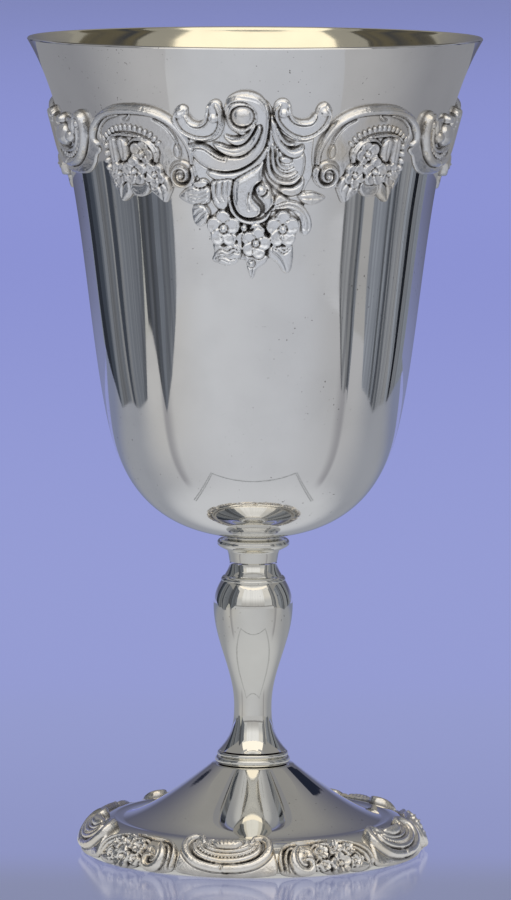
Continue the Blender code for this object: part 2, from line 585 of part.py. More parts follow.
def draw_foot_shell(drawing):
    """Foot shell: an arch between two scrolls over a cluster of small blossoms."""
    drawing.ground([(-7.6, 4.2, 3.0), (-3.5, 4.2, 3.6), (0.0, 4.1, 3.7), (4.0, 3.9, 3.4),
                    (7.6, 3.9, 2.7)])
    for side in (-1, 1):
        drawing.ridge([(side * 9.8, 1.6, 0.6, 1.2), (side * 10.1, 4.0, 0.6, 1.3),
                       (side * 9.2, 6.4, 0.6, 1.3)])
    drawing.ridge([(-6.4, 6.9, 0.6, 1.4), (-7.6, 4.8, 0.8, 1.6), (-7.4, 2.6, 1.0, 1.7),
                   (-5.4, 1.6, 1.0, 1.7), (-3.9, 2.8, 0.8, 1.5), (-4.6, 4.2, 0.5, 1.3)])
    drawing.ridge([(-5.6, 7.2, 0.5, 1.2), (-1.0, 7.4, 0.5, 1.2), (4.0, 6.8, 0.6, 1.3),
                   (7.2, 4.6, 0.7, 1.4), (7.6, 2.0, 0.6, 1.3)])
    drawing.boss(-0.5, 1.6, 1.3, 1.5)
    drawing.boss(2.0, 1.5, 1.3, 1.5)
    drawing.boss(-1.9, 4.8, 1.3, 1.6)
    drawing.boss(0.8, 4.2, 1.2, 1.6)
    drawing.boss(3.2, 4.8, 1.1, 1.5)
    drawing.boss(4.9, 3.2, 1.2, 1.4)


def draw_foot_lunette(drawing):
    """Foot lunette: a hooked outer rim, a beaded band and an inner rim round a low boss."""
    drawing.ground([(-7.2, 2.8, 2.0), (0.0, 2.6, 2.4), (7.2, 2.8, 2.0)])
    drawing.ground([(-6.6, 6.4, 2.4), (0.0, 6.2, 2.6), (6.6, 6.4, 2.4)])
    for side in (-1, 1):
        drawing.ridge([(side * 5.9, 8.2, 0.6, 1.5), (side * 7.6, 8.6, 0.7, 1.6),
                       (side * 8.4, 7.0, 0.8, 1.6), (side * 7.4, 5.0, 0.8, 1.6),
                       (side * 4.2, 2.9, 0.8, 1.6), (0.0, 2.3, 0.8, 1.6)])
        drawing.ridge([(side * 6.3, 6.6, 0.5, 1.3), (side * 3.6, 4.9, 0.9, 1.3), (0.0, 4.6, 0.9, 1.3)])
    drawing.ridge([(-1.6, 7.2, 1.2, 1.5), (1.6, 7.2, 1.2, 1.5)])


def mirrored(mesh, name):
    """The opposite hand of a casting."""
    shape = bmesh.new()
    shape.from_mesh(mesh)
    for vertex in shape.verts:
        vertex.co.x = -vertex.co.x
    bmesh.ops.reverse_faces(shape, faces=shape.faces)
    result = bpy.data.meshes.new(name)
    shape.to_mesh(result)
    shape.free()
    return result


def beside_front(front, shell, hand):
    """Distance of a point in a shell's drawing from the front cartouche, to the right (1) or left (-1)."""
    front_half, front_low, front_high, _ = front.extent()
    shell_half, shell_low, shell_high, _ = shell.extent()
    across = SHELL_SWEEP / shell_half * front_half / FRONT_SWEEP
    middle = REPEAT_ANGLE * front_half / FRONT_SWEEP
    up = SHELL_DEPTH / (shell_high - shell_low) * (front_high - front_low) / FRONT_DEPTH

    def distance(x, z):
        cover, _ = front.relief(hand * (x * across + middle), z * up)
        return -cover - 2 * SEAM / MM

    return distance


def make_bowl_border(silver):
    """Front cartouche, then shells and lunettes in turn, soldered round the bowl."""
    front = Drawing(draw_front)
    wrap = bowl_wrap(front, FRONT_SWEEP, FRONT_DEPTH)
    mesh = casting_mesh("front_cartouche", front, wrap, FRONT_RELIEF, FRONT_FACES)
    add_object("front_cartouche", mesh, silver)

    shell = Drawing(draw_shell)
    wrap = bowl_wrap(shell, SHELL_SWEEP, SHELL_DEPTH)
    cuts = {"whole": None, "right": beside_front(front, shell, 1), "left": beside_front(front, shell, -1)}
    meshes = {cut: casting_mesh("bowl_shell_" + cut, shell, wrap, SHELL_RELIEF, SHELL_FACES, clear)
              for cut, clear in cuts.items()}
    for index in range(BORDER_REPEATS):
        name = f"bowl_shell_{index + 1}"
        cut = {0: "right", BORDER_REPEATS - 1: "left"}.get(index, "whole")
        mesh = meshes[cut] if index < BORDER_REPEATS / 2 else mirrored(meshes[cut], name)
        add_object(name, mesh, silver, (index + 0.5) * REPEAT_ANGLE)

    lunette = Drawing(draw_lunette)
    wrap = bowl_wrap(lunette, REPEAT_ANGLE - SHELL_SWEEP - 4 * SEAM / BELLY_RADIUS, LUNETTE_DEPTH)
    mesh = casting_mesh("bowl_lunette", lunette, wrap, LUNETTE_RELIEF, LUNETTE_FACES)
    for index in range(1, BORDER_REPEATS):
        add_object(f"bowl_lunette_{index}", mesh, silver, index * REPEAT_ANGLE)


def make_foot_border(silver):
    """Lunettes and shells in turn, soldered round the foot."""
    lunette = Drawing(draw_foot_lunette)
    sweep = REPEAT_ANGLE - FOOT_SHELL_SWEEP - 4 * SEAM / (FOOT_RADIUS - FOOT_EDGE_WIDTH)
    wrap = foot_wrap(lunette, sweep, FOOT_LUNETTE_RISE)
    lunette_mesh = casting_mesh("foot_lunette", lunette, wrap, FOOT_RELIEF, FOOT_LUNETTE_FACES)
    shell = Drawing(draw_foot_shell)
    wrap = foot_wrap(shell, FOOT_SHELL_SWEEP, FOOT_SHELL_RISE)
    shell_mesh = casting_mesh("foot_shell", shell, wrap, FOOT_RELIEF, FOOT_SHELL_FACES)
    for index in range(BORDER_REPEATS):
        turn = FOOT_BORDER_TURN + index * REPEAT_ANGLE
        add_object(f"foot_lunette_{index + 1}", lunette_mesh, silver, turn)
        name = f"foot_shell_{index + 1}"
        mesh = shell_mesh if index < BORDER_REPEATS / 2 else mirrored(shell_mesh, name)
        add_object(name, mesh, silver, turn + REPEAT_ANGLE / 2)


def main():
    clear_scene()
    silver = metal("polished silver", (0.80, 0.79, 0.77), 0.10)
    cast_silver = metal("cast silver", (0.74, 0.72, 0.68), 0.18)
    make_bowl(silver)
    make_collar(silver)
    make_stem(silver)
    make_ring(silver)
    make_foot(silver)
    make_bowl_border(cast_silver)
    make_foot_border(cast_silver)


main()
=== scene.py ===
# %% [markdown]
# # A silver goblet with a cast border
#
# The real goblet is put together from a few turned pieces and a wreath of small castings.
# The bowl, stem and foot are sheet silver, raised or spun over a form and then polished.
# The scrolls, shells and blossoms are cast one by one and soldered round the bowl and foot.
# This lesson first loads the plain solid model, which is the frame everything must fit.
# Then it makes each piece again in full detail, gives it its finish, and lights it.

# %% Load the plain model and set the millimetre
import bpy
import bmesh
import json
import numpy as np
from math import cos, hypot, pi, radians, sin, sqrt
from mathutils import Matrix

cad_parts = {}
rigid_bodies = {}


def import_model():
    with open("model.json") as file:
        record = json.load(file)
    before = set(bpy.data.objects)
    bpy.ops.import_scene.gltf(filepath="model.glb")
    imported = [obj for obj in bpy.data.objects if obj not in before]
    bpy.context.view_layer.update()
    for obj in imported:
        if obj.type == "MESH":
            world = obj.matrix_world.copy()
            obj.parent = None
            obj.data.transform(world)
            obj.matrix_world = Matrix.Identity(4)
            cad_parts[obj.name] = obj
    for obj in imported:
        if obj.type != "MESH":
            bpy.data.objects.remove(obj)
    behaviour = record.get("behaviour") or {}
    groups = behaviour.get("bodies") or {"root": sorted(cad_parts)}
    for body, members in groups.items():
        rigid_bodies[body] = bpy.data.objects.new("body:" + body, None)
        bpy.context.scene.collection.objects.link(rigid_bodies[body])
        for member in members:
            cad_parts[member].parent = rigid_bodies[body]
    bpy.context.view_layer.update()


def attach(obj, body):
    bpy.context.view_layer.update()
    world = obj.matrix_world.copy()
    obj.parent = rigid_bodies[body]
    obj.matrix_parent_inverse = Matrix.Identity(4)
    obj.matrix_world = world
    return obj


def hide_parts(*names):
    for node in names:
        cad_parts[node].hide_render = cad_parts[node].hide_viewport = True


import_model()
MM = 0.001

# %% [markdown]
# ## Polished silver
#
# Silver mirrors its surroundings, so most of its look is what stands round it.
# What is left to the metal is small: a sheet that was hammered and buffed is never quite
# true, so reflections waver, and years of use leave dark specks and fine hairlines.
# Each of these is a noise pattern on object coordinates, so it stays fixed to the metal.

# %% Helpers to build a material from nodes
def shader_tree(name):
    """A new material, its node tree and its Principled shader."""
    material = bpy.data.materials.new(name)
    material.use_nodes = True
    tree = material.node_tree
    return material, tree, tree.nodes["Principled BSDF"]


def add_node(tree, kind, settings=None, **inputs):
    """Add a node, set its properties, and set or link its inputs: by name, or by place as _0, _1."""
    node = tree.nodes.new(kind)
    for key, value in (settings or {}).items():
        setattr(node, key, value)
    for key, value in inputs.items():
        socket = node.inputs[int(key[1:]) if key[1:].isdigit() else key.replace("_", " ")]
        if hasattr(value, "is_linked"):
            tree.links.new(value, socket)
        else:
            socket.default_value = value
    return node


def calculate(tree, operation, *values):
    """The result of a Math node, such as ADD or FLOOR, for one or more values."""
    inputs = {f"_{place}": value for place, value in enumerate(values)}
    return add_node(tree, "ShaderNodeMath", {"operation": operation}, **inputs).outputs[0]


def noise(tree, where, scale, detail, roughness=0.5):
    """A noise pattern at a scale given in cells per metre."""
    return add_node(tree, "ShaderNodeTexNoise", Vector=where, Scale=scale, Detail=detail,
                    Roughness=roughness).outputs["Fac"]


def ramp(tree, value, low, high, start=0.0, end=1.0):
    """Remap a value smoothly from low..high to start..end."""
    return add_node(tree, "ShaderNodeMapRange", {"interpolation_type": "SMOOTHSTEP"}, _0=value,
                    From_Min=low, From_Max=high, To_Min=start, To_Max=end).outputs["Result"]


def blend(tree, share, first, second):
    """Colour between first and second."""
    node = add_node(tree, "ShaderNodeMix", {"data_type": "RGBA"}, _0=share, _6=first, _7=second)
    return node.outputs[2]


def fade(tree, value, low, high, first, second):
    """Colour that runs from first to second while a value runs from low to high."""
    return blend(tree, ramp(tree, value, low, high), first, second)


def bumps(tree, height, distance, under=None):
    """Small relief in the shading, distance in metres."""
    node = add_node(tree, "ShaderNodeBump", Height=height, Distance=distance, Strength=1.0)
    if under is not None:
        tree.links.new(under, node.inputs["Normal"])
    return node.outputs["Normal"]


# %% The polished silver and the gilding
CLOUD_SCALE = 90.0
SPECK_SCALE = 1500.0
SPECK_PATCH_SCALE = 45.0
WAVE_SCALE = 38.0
HAIRLINE_STRETCH = (60.0, 60.0, 900.0)
HAIRLINE_DEPTH = 0.0000012
SPECK_COLOUR = (0.10, 0.085, 0.07, 1.0)
DULLED = 0.95


def polished(name, colour, roughness, waver):
    """Buffed metal with wavering reflections, hairlines and scattered specks."""
    material, tree, shader = shader_tree(name)
    where = add_node(tree, "ShaderNodeTexCoord").outputs["Object"]
    cloudy = noise(tree, where, CLOUD_SCALE, 3.0)
    dots = ramp(tree, noise(tree, where, SPECK_SCALE, 1.0), 0.730, 0.760, 0.0, 0.7)
    patches = ramp(tree, noise(tree, where, SPECK_PATCH_SCALE, 2.0), 0.50, 0.62)
    dulled = tuple(DULLED * part for part in colour[:3]) + (1.0,)
    clouded = fade(tree, cloudy, 0.35, 0.7, colour, dulled)
    specked = blend(tree, calculate(tree, "MULTIPLY", dots, patches), clouded, SPECK_COLOUR)
    tree.links.new(specked, shader.inputs["Base Color"])
    shader.inputs["Metallic"].default_value = 1.0
    rubbed = ramp(tree, cloudy, 0.3, 0.75, roughness * 0.7, roughness * 1.6)
    tree.links.new(rubbed, shader.inputs["Roughness"])
    stretched = add_node(tree, "ShaderNodeMapping", Vector=where, Scale=HAIRLINE_STRETCH).outputs[0]
    fine = bumps(tree, noise(tree, stretched, 3.0, 3.0, 0.7), HAIRLINE_DEPTH)
    wide = bumps(tree, noise(tree, where, WAVE_SCALE, 1.0), waver, fine)
    tree.links.new(wide, shader.inputs["Normal"])
    return material


silver = polished("polished silver", (0.93, 0.92, 0.90, 1.0), 0.045, 0.00012)
stem_silver = polished("polished stem silver", (0.905, 0.882, 0.81, 1.0), 0.035, 0.00003)
gilding = polished("gilded inside", (0.96, 0.90, 0.71, 1.0), 0.10, 0.0001)
print("finishes:", silver.name, stem_silver.name, gilding.name)

# %% [markdown]
# ## Turning a piece
#
# A round piece follows one rule: an outline of radius and height, carried once round the
# axis. Geometry Nodes can do the turning. The outline is a string of points. A grid has
# one column for each step round the axis and one row for each point, and every grid point
# looks up its place in the outline and is turned by its column. Points that land in one
# place, at the seam and on the axis, are merged, so that the skin is closed.

# %% Helpers for Geometry Nodes trees
def geometry_tree(name, result, **inputs):
    """A Geometry Nodes tree with named inputs, and the sockets that hand them in."""
    tree = bpy.data.node_groups.new(name, "GeometryNodeTree")
    for label, kind in inputs.items():
        tree.interface.new_socket(label, in_out="INPUT", socket_type="NodeSocket" + kind)
    tree.interface.new_socket(result, in_out="OUTPUT", socket_type="NodeSocketGeometry")
    return tree, tree.nodes.new("NodeGroupInput").outputs


def end_tree(tree, shape, metal):
    """End a tree: make every copy real, and set its metal."""
    real = add_node(tree, "GeometryNodeRealizeInstances", Geometry=shape).outputs[0]
    coated = add_node(tree, "GeometryNodeSetMaterial", Geometry=real, Material=metal).outputs[0]
    tree.links.new(coated, tree.nodes.new("NodeGroupOutput").inputs[0])


# %% The tree that turns an outline
SAME_PLACE = 1e-6


def turning_tree():
    """Node tree: carry an outline of points once round the Z axis."""
    tree, given = geometry_tree("turn an outline", "Turned piece", Outline="Geometry", Steps="Int",
                                Metal="Material")
    size = add_node(tree, "GeometryNodeAttributeDomainSize", Geometry=given["Outline"])
    points = size.outputs["Point Count"]
    columns = calculate(tree, "ADD", given["Steps"], 1.0)
    grid = add_node(tree, "GeometryNodeMeshGrid", Vertices_X=columns, Vertices_Y=points).outputs["Mesh"]
    index = tree.nodes.new("GeometryNodeInputIndex").outputs[0]
    row = calculate(tree, "MODULO", index, points)
    column = calculate(tree, "FLOOR", calculate(tree, "DIVIDE", index, points))
    angle = calculate(tree, "MULTIPLY", calculate(tree, "DIVIDE", column, given["Steps"]), 2 * pi)
    place = tree.nodes.new("GeometryNodeInputPosition").outputs[0]
    looked_up = add_node(tree, "GeometryNodeSampleIndex", {"data_type": "FLOAT_VECTOR"},
                         Geometry=given["Outline"], Value=place, Index=row).outputs[0]
    turned = add_node(tree, "ShaderNodeVectorRotate", {"rotation_type": "Z_AXIS"},
                      Vector=looked_up, Angle=angle).outputs[0]
    moved = add_node(tree, "GeometryNodeSetPosition", Geometry=grid, Position=turned).outputs[0]
    merged = add_node(tree, "GeometryNodeMergeByDistance", Geometry=moved, Distance=SAME_PLACE).outputs[0]
    end_tree(tree, merged, given["Metal"])
    return tree


def nodes_applied(name, mesh, tree, values):
    """Run a node tree on a mesh with named input values, and return the plain mesh it makes."""
    item = bpy.data.objects.new(name, mesh)
    bpy.context.scene.collection.objects.link(item)
    modifier = item.modifiers.new("nodes", "NODES")
    modifier.node_group = tree
    for socket in tree.interface.items_tree:
        if socket.in_out == "INPUT" and socket.name in values:
            modifier[socket.identifier] = values[socket.name]
    depsgraph = bpy.context.evaluated_depsgraph_get()
    result = bpy.data.meshes.new_from_object(item.evaluated_get(depsgraph), depsgraph=depsgraph)
    bpy.data.objects.remove(item, do_unlink=True)
    return result


def string_of_points(name, points):
    """A mesh of points joined by edges."""
    mesh = bpy.data.meshes.new(name)
    mesh.from_pydata(points, [(i, i + 1) for i in range(len(points) - 1)], [])
    return mesh


# %% Put a piece in the scene in place of its solid
def add_piece(name, mesh, nodes, sharp=35.0):
    """Shade a mesh, crisp at edges sharper than some degrees, and let it stand for its solids."""
    mesh.name = name
    mesh.shade_smooth()
    mesh.set_sharp_from_angle(angle=radians(sharp))
    piece = bpy.data.objects.new(name, mesh)
    bpy.context.scene.collection.objects.link(piece)
    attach(piece, "root")
    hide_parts(*nodes)


# %% Turn an outline into a closed mesh
TURNING = turning_tree()
TURNED_STEPS = 288


def turned_mesh(name, outline, metal):
    """A closed skin from an outline of (radius, height) points."""
    line = string_of_points(name, [(radius, 0.0, height) for radius, height in outline])
    mesh = nodes_applied(name, line, TURNING, {"Steps": TURNED_STEPS, "Metal": metal})
    shape = bmesh.new()
    shape.from_mesh(mesh)
    bmesh.ops.recalc_face_normals(shape, faces=shape.faces)
    for face in shape.faces:
        face.material_index = 0
    shape.to_mesh(mesh)
    shape.free()
    mesh.materials.clear()
    mesh.materials.append(metal)
    print(f"{name}: {len(outline)} outline points, {len(mesh.polygons)} faces")
    return mesh


# %% Curves for outlines
def bezier(start, lead, trail, end, count):
    """Points of a cubic curve from start to end, without its last point."""
    t = np.arange(count)[:, None] / count
    corners = np.array((start, lead, trail, end), dtype=float)
    weights = np.hstack([(1 - t) ** 3, 3 * (1 - t) ** 2 * t, 3 * (1 - t) * t ** 2, t ** 3])
    return [tuple(point) for point in weights @ corners]


def arc(centre, radii, first, last, count):
    """Points of an ellipse's arc, angles in degrees from the outward direction."""
    angles = np.radians(np.linspace(first, last, count + 1))
    return [(centre[0] + radii[0] * cos(a), centre[1] + radii[1] * sin(a)) for a in angles]


def inset(outline, distance):
    """The outline moved inwards by a wall's thickness."""
    points = np.array(outline)
    along = np.gradient(points, axis=0)
    along /= np.linalg.norm(along, axis=1)[:, None]
    return [tuple(point) for point in points + distance * np.column_stack((-along[:, 1], along[:, 0]))]


# %% [markdown]
# ## The bowl
#
# A silversmith raises a bowl like this from a flat disc, or spins it over a wooden form.
# The sheet stays about as thick everywhere, the bottom is rounded, the wall leans out a
# little, and the last part flares to a rolled lip. The inside is gilded, because wine
# would blacken bare silver. The sizes below are those of the solid model.

# %% Sizes of the bowl and its outline
BOWL_WALL = 0.9 * MM
BOWL_Z = 65.95 * MM
BOTTOM_FULLNESS = 24.5 * MM
BELLY = (30.85 * MM, 92.60 * MM)
BELLY_ROUNDNESS = 10.3 * MM
WALL_TAPER = 0.197
WALL_STRAIGHTNESS = 23.1 * MM
RIM_Z = 170.0 * MM
RIM_LEAN = 0.608
RIM_FLARE_HEIGHT = 18.1 * MM
LIP = (47.05 * MM, RIM_Z - BOWL_WALL / 2)


def leaning(place, rise, lean):
    """The point reached from a place by a rise along a line that leans outwards."""
    return (place[0] + lean * rise, place[1] + rise)


def bowl_outside():
    """Outside of the bowl from the middle of its bottom to the lip."""
    bottom = bezier((0.0, BOWL_Z), (BOTTOM_FULLNESS, BOWL_Z),
                    leaning(BELLY, -BELLY_ROUNDNESS, WALL_TAPER), BELLY, 44)
    flare = bezier(BELLY, leaning(BELLY, WALL_STRAIGHTNESS, WALL_TAPER),
                   leaning(LIP, -RIM_FLARE_HEIGHT, RIM_LEAN), LIP, 66)
    return bottom + flare + [LIP]


BOWL_OUTSIDE = bowl_outside()

# %% Make the bowl and gild its inside
half_wall = BOWL_WALL / 2
bowl_inside = inset(BOWL_OUTSIDE, BOWL_WALL)[3:-1:2]
lip = arc((LIP[0] - half_wall, LIP[1]), (half_wall, half_wall), 20, 170, 7)
bowl_outline = BOWL_OUTSIDE + lip + bowl_inside[::-1] + [(0.0, BOWL_Z + BOWL_WALL)]
bowl_mesh = turned_mesh("bowl", bowl_outline, silver)
bowl_mesh.materials.append(gilding)
gilded_faces = 0
for face in bowl_mesh.polygons:
    outward = face.normal.x * face.center.x + face.normal.y * face.center.y
    if face.normal.z > 0 and outward < 0.6 * hypot(face.center.x, face.center.y):
        face.material_index = 1
        gilded_faces += 1
print("gilded faces:", gilded_faces)
add_piece("raised_bowl", bowl_mesh, ["bowl"])

# %% [markdown]
# ## Collar, stem, ring and foot
#
# These are turned or spun in the lathe. The stem is hollow, with a dowel from the collar above
# and from the ring below to line the pieces up for soldering. Every crisp step in an
# outline shows as a bright or dark line, so the outlines have many points at the steps.

# %% Sizes of the stacked pieces
SEAM = 0.3 * MM
DOWEL_RADIUS = 2.4 * MM
DOWEL_LENGTH = 3.0 * MM
BORE_RADIUS = DOWEL_RADIUS + SEAM
FOOT_RADIUS = 35.2 * MM
FOOT_EDGE_WIDTH = 6.6 * MM
FOOT_EDGE_HEIGHT = 7.1 * MM
FOOT_LINE_Z = 6.8 * MM
FOOT_TOP = (7.2 * MM, 18.3 * MM)
FOOT_WALL = 1.0 * MM
RING_Z = 18.6 * MM
RING_TOP_Z = 20.9 * MM
STEM_Z = 21.2 * MM
STEM_NECK = (4.95 * MM, 60.55 * MM)
COLLAR_Z = 60.85 * MM

# %% Make the collar
COLLAR_WAIST = 5.2 * MM
COLLAR_DISC_Z = 63.2 * MM
COLLAR_TOP_Z = 65.65 * MM
COLLAR_RADIUS = 7.55 * MM
COLLAR_ROUND = 0.9 * MM
UNDER_DISC_LEAD = (6.35 * MM, COLLAR_DISC_Z + 0.49 * MM)
UNDER_DISC_TRAIL = (COLLAR_RADIUS, COLLAR_DISC_Z + 0.817 * MM)
FILLET = ((6.60, 0.0), (6.25, 0.05), (5.95, 0.25), (5.90, 0.55), (5.75, 0.50), (5.60, 0.0))

dowel_end = COLLAR_Z - DOWEL_LENGTH
disc_start = (COLLAR_WAIST + SEAM, COLLAR_DISC_Z)
round_middle = (COLLAR_RADIUS - COLLAR_ROUND, COLLAR_TOP_Z - COLLAR_ROUND)
fillet = [(radius * MM, COLLAR_TOP_Z + rise * MM) for radius, rise in FILLET]
collar = [(0.0, dowel_end), (DOWEL_RADIUS, dowel_end), (DOWEL_RADIUS, COLLAR_Z)]
collar += bezier((STEM_NECK[0], COLLAR_Z), (COLLAR_WAIST, (COLLAR_Z + COLLAR_DISC_Z) / 2),
                 (COLLAR_WAIST, COLLAR_DISC_Z - SEAM), disc_start, 16)
collar += bezier(disc_start, UNDER_DISC_LEAD, UNDER_DISC_TRAIL, (COLLAR_RADIUS, round_middle[1]), 20)
collar += arc(round_middle, (COLLAR_ROUND, COLLAR_ROUND), 0, 90, 12)
collar += bezier(*fillet[:4], 12) + fillet[3:] + [(0.0, COLLAR_TOP_Z)]
add_piece("turned_collar", turned_mesh("collar", collar, stem_silver), ["stem_collar"])

# %% Make the hollow baluster stem
STEM_WAIST = (3.9 * MM, 30.4 * MM)
STEM_FLARE = 3.1 * MM
BALUSTER = (8.25 * MM, 51.8 * MM)
SHOULDER_ROUNDNESS = 4.4 * MM
NECK_HOLLOW = 2.3 * MM
NECK_RIDGE_Z = 57.4 * MM
NECK_RIDGE_HALF = 0.5 * MM
NECK_RIDGE = 0.30 * MM
NECK_GROOVE = 0.05 * MM
LOW_STEPS = 28
SWELL_STEPS = 56

stem = []
for step in range(LOW_STEPS):
    share = 1 - step / LOW_STEPS
    stem.append((STEM_WAIST[0] + STEM_FLARE * share ** 2.8, STEM_Z + (STEM_WAIST[1] - STEM_Z) * (1 - share)))
for step in range(SWELL_STEPS):
    share = (1 - cos(pi * step / SWELL_STEPS)) / 2
    stem.append((STEM_WAIST[0] + (BALUSTER[0] - STEM_WAIST[0]) * share,
                 STEM_WAIST[1] + (BALUSTER[1] - STEM_WAIST[1]) * step / SWELL_STEPS))
shoulder = bezier(BALUSTER, (BALUSTER[0], BALUSTER[1] + SHOULDER_ROUNDNESS),
                  (STEM_NECK[0], STEM_NECK[1] - NECK_HOLLOW), STEM_NECK, 72)
for radius, height in shoulder:
    away = abs(height - NECK_RIDGE_Z) / NECK_RIDGE_HALF
    ridge = NECK_RIDGE * sqrt(max(1 - away ** 2, 0)) if away < 1 else -NECK_GROOVE * max(1.6 - away, 0)
    stem.append((radius + ridge, height))
stem += [STEM_NECK, (BORE_RADIUS, STEM_NECK[1]), (BORE_RADIUS, STEM_Z), stem[0]]
add_piece("baluster_stem", turned_mesh("stem", stem, stem_silver), ["stem"])

# %% Make the moulded ring
RING_UNDERSIDE_Z = RING_Z - 0.15 * MM
LOW_BEAD = ((7.3 * MM, RING_Z + 0.57 * MM), (0.5 * MM, 0.72 * MM))
HIGH_BEAD = ((7.1 * MM, RING_TOP_Z - 0.45 * MM), (0.3 * MM, 0.45 * MM))

low_end = RING_Z - SEAM - FOOT_WALL
high_end = RING_TOP_Z + DOWEL_LENGTH
ring = [(0.0, low_end), (DOWEL_RADIUS, low_end), (DOWEL_RADIUS, RING_UNDERSIDE_Z)]
ring += arc(*LOW_BEAD, -90, 90, 16) + arc(*HIGH_BEAD, -90, 90, 10)
ring += [(DOWEL_RADIUS, RING_TOP_Z), (DOWEL_RADIUS, high_end), (0.0, high_end)]
add_piece("moulded_ring", turned_mesh("ring", ring, stem_silver), ["stem_base_ring"])


# %% The rounded edge of the foot
def foot_edge(angle):
    """Points and outward directions on the foot's rounded edge, from the table upwards."""
    place = np.stack((FOOT_RADIUS - FOOT_EDGE_WIDTH * (1 - np.cos(angle)), FOOT_EDGE_HEIGHT * np.sin(angle)))
    outward = np.stack((np.cos(angle) * FOOT_EDGE_HEIGHT, np.sin(angle) * FOOT_EDGE_WIDTH))
    return place, outward / np.hypot(*outward)


# %% Make the foot
LINE_INSET = 1.4 * MM
FLANGE_WIDTH = 2.6 * MM
CONE_LEAD = (21.0 * MM, 8.3 * MM)
CONE_TRAIL = (12.4 * MM, 15.3 * MM)
CONE_TOP = (8.5 * MM, 18.25 * MM)

edge_place, _ = foot_edge(np.linspace(0, pi / 2, 24))
line_radius = FOOT_RADIUS - FOOT_EDGE_WIDTH - LINE_INSET
cone = bezier((line_radius, FOOT_LINE_Z), CONE_LEAD, CONE_TRAIL, CONE_TOP, 48) + [CONE_TOP]
foot_outside = [tuple(place) for place in edge_place.T] + cone + [FOOT_TOP]
foot_hidden = inset(foot_outside, FOOT_WALL)[4:-1:2]
under_top = FOOT_TOP[1] - FOOT_WALL
flange = FOOT_RADIUS - FLANGE_WIDTH
foot = foot_outside + [(BORE_RADIUS, FOOT_TOP[1]), (BORE_RADIUS, under_top)]
foot += [(FOOT_TOP[0] - FOOT_WALL, under_top)] + foot_hidden[::-1]
foot += [(FOOT_RADIUS - 1.5 * FOOT_WALL, FOOT_WALL), (flange, FOOT_WALL), (flange, 0.0), foot_outside[0]]
add_piece("spun_foot", turned_mesh("foot", foot, stem_silver), ["foot_dome"])

# %% [markdown]
# ## Cast silver
#
# The castings are polished only where a brush reaches. Tarnish stays in every hollow, and
# that thin dark line round each scroll is what makes the pattern readable. So the finish
# needs to know where the hollows are. When a casting is made below, each of its points
# gets a number: how far it lies under its surroundings. The number is raised at each
# casting's edge, for tarnish at the joint and painted shade, and low on the foot's
# castings, for painted shade near the table. The material turns that number into dark,
# dull metal, and leaves the tops bright.

# %% The cast silver
PATCH_SCALE = 260.0
TINT_SCALE = 120.0
GRAIN_SCALE = 2200.0
GRAIN_DEPTH = 0.00004
DENT_SCALE = 620.0
DENT_DEPTH = 0.00016
# Tarnish colours, used also for the painted shade at the castings' edges and near the table.
BROWN_TARNISH_AND_SHADE = (0.50, 0.48, 0.455, 1.0)
BLACK_TARNISH_AND_SHADE = (0.055, 0.048, 0.045, 1.0)


def cast_finish(name, bright, warm):
    """Cast metal, bright on top, tarnished and dull in its hollows, and darker where painted shade is marked
    on its points.
    """
    material, tree, shader = shader_tree(name)
    where = add_node(tree, "ShaderNodeTexCoord").outputs["Object"]
    tarnish_and_shade = add_node(tree, "ShaderNodeAttribute", {"attribute_name": "tarnish_and_shade"}).outputs["Fac"]
    patchy = ramp(tree, noise(tree, where, PATCH_SCALE, 3.0), 0.3, 0.7, 0.8, 1.15)
    depth = calculate(tree, "MULTIPLY", tarnish_and_shade, patchy)
    tinted = fade(tree, noise(tree, where, TINT_SCALE, 2.0), 0.46, 0.70, bright, warm)
    # Tarnish in the hollows and painted shade turn the metal brown, then black.
    brown = fade(tree, depth, 0.10, 0.60, tinted, BROWN_TARNISH_AND_SHADE)
    black = fade(tree, depth, 0.58, 1.35, brown, BLACK_TARNISH_AND_SHADE)
    tree.links.new(black, shader.inputs["Base Color"])
    shader.inputs["Metallic"].default_value = 1.0
    tree.links.new(ramp(tree, depth, 0.1, 0.8, 0.20, 0.5), shader.inputs["Roughness"])
    grain = bumps(tree, noise(tree, where, GRAIN_SCALE, 2.0), GRAIN_DEPTH)
    dents = bumps(tree, noise(tree, where, DENT_SCALE, 2.0, 0.6), DENT_DEPTH, grain)
    tree.links.new(dents, shader.inputs["Normal"])
    return material


cast_silver = cast_finish("cast silver", (0.94, 0.95, 0.965, 1.0), (0.93, 0.91, 0.88, 1.0))
shell_silver = cast_finish("cast shell silver", (0.86, 0.862, 0.87, 1.0), (0.82, 0.775, 0.70, 1.0))
foot_cast_silver = cast_finish("cast foot silver", (0.97, 0.93, 0.86, 1.0), (0.93, 0.84, 0.69, 1.0))
print("finishes:", cast_silver.name, shell_silver.name, foot_cast_silver.name)

# %% [markdown]
# ## Drawing a casting
#
# The carver of the pattern worked in relief on a flat ground, and the soft casting was
# bent to the bowl afterwards. The same is done here. A relief is a fine grid over a flat
# drawing in millimetres. Shapes are laid on it one over the other, each with a thin groove
# round it: strokes for stems and scrolls, slabs with rounded edges for leaves, dished
# strokes for petals. Then the grid is closed with a back and bent round the goblet.

# %% Cross sections, from the middle (0) to the edge (1) of a shape
def domed(t):
    """Round like a bead."""
    return 0.15 + 0.85 * np.sqrt(1 - t ** 2)


def blunt(t):
    """Flat on top with rounded edges."""
    return 0.3 + 0.7 * np.sqrt(1 - t ** 3)


def dished(t):
    """A shallow dish with a fine rim, as a petal."""
    return 0.25 + 0.75 * np.sqrt(1 - t ** 8) * (0.72 + 0.28 * np.minimum(t / 0.78, 1) ** 3)


# %% Smooth lines through stations
PATH_STEP = 0.35


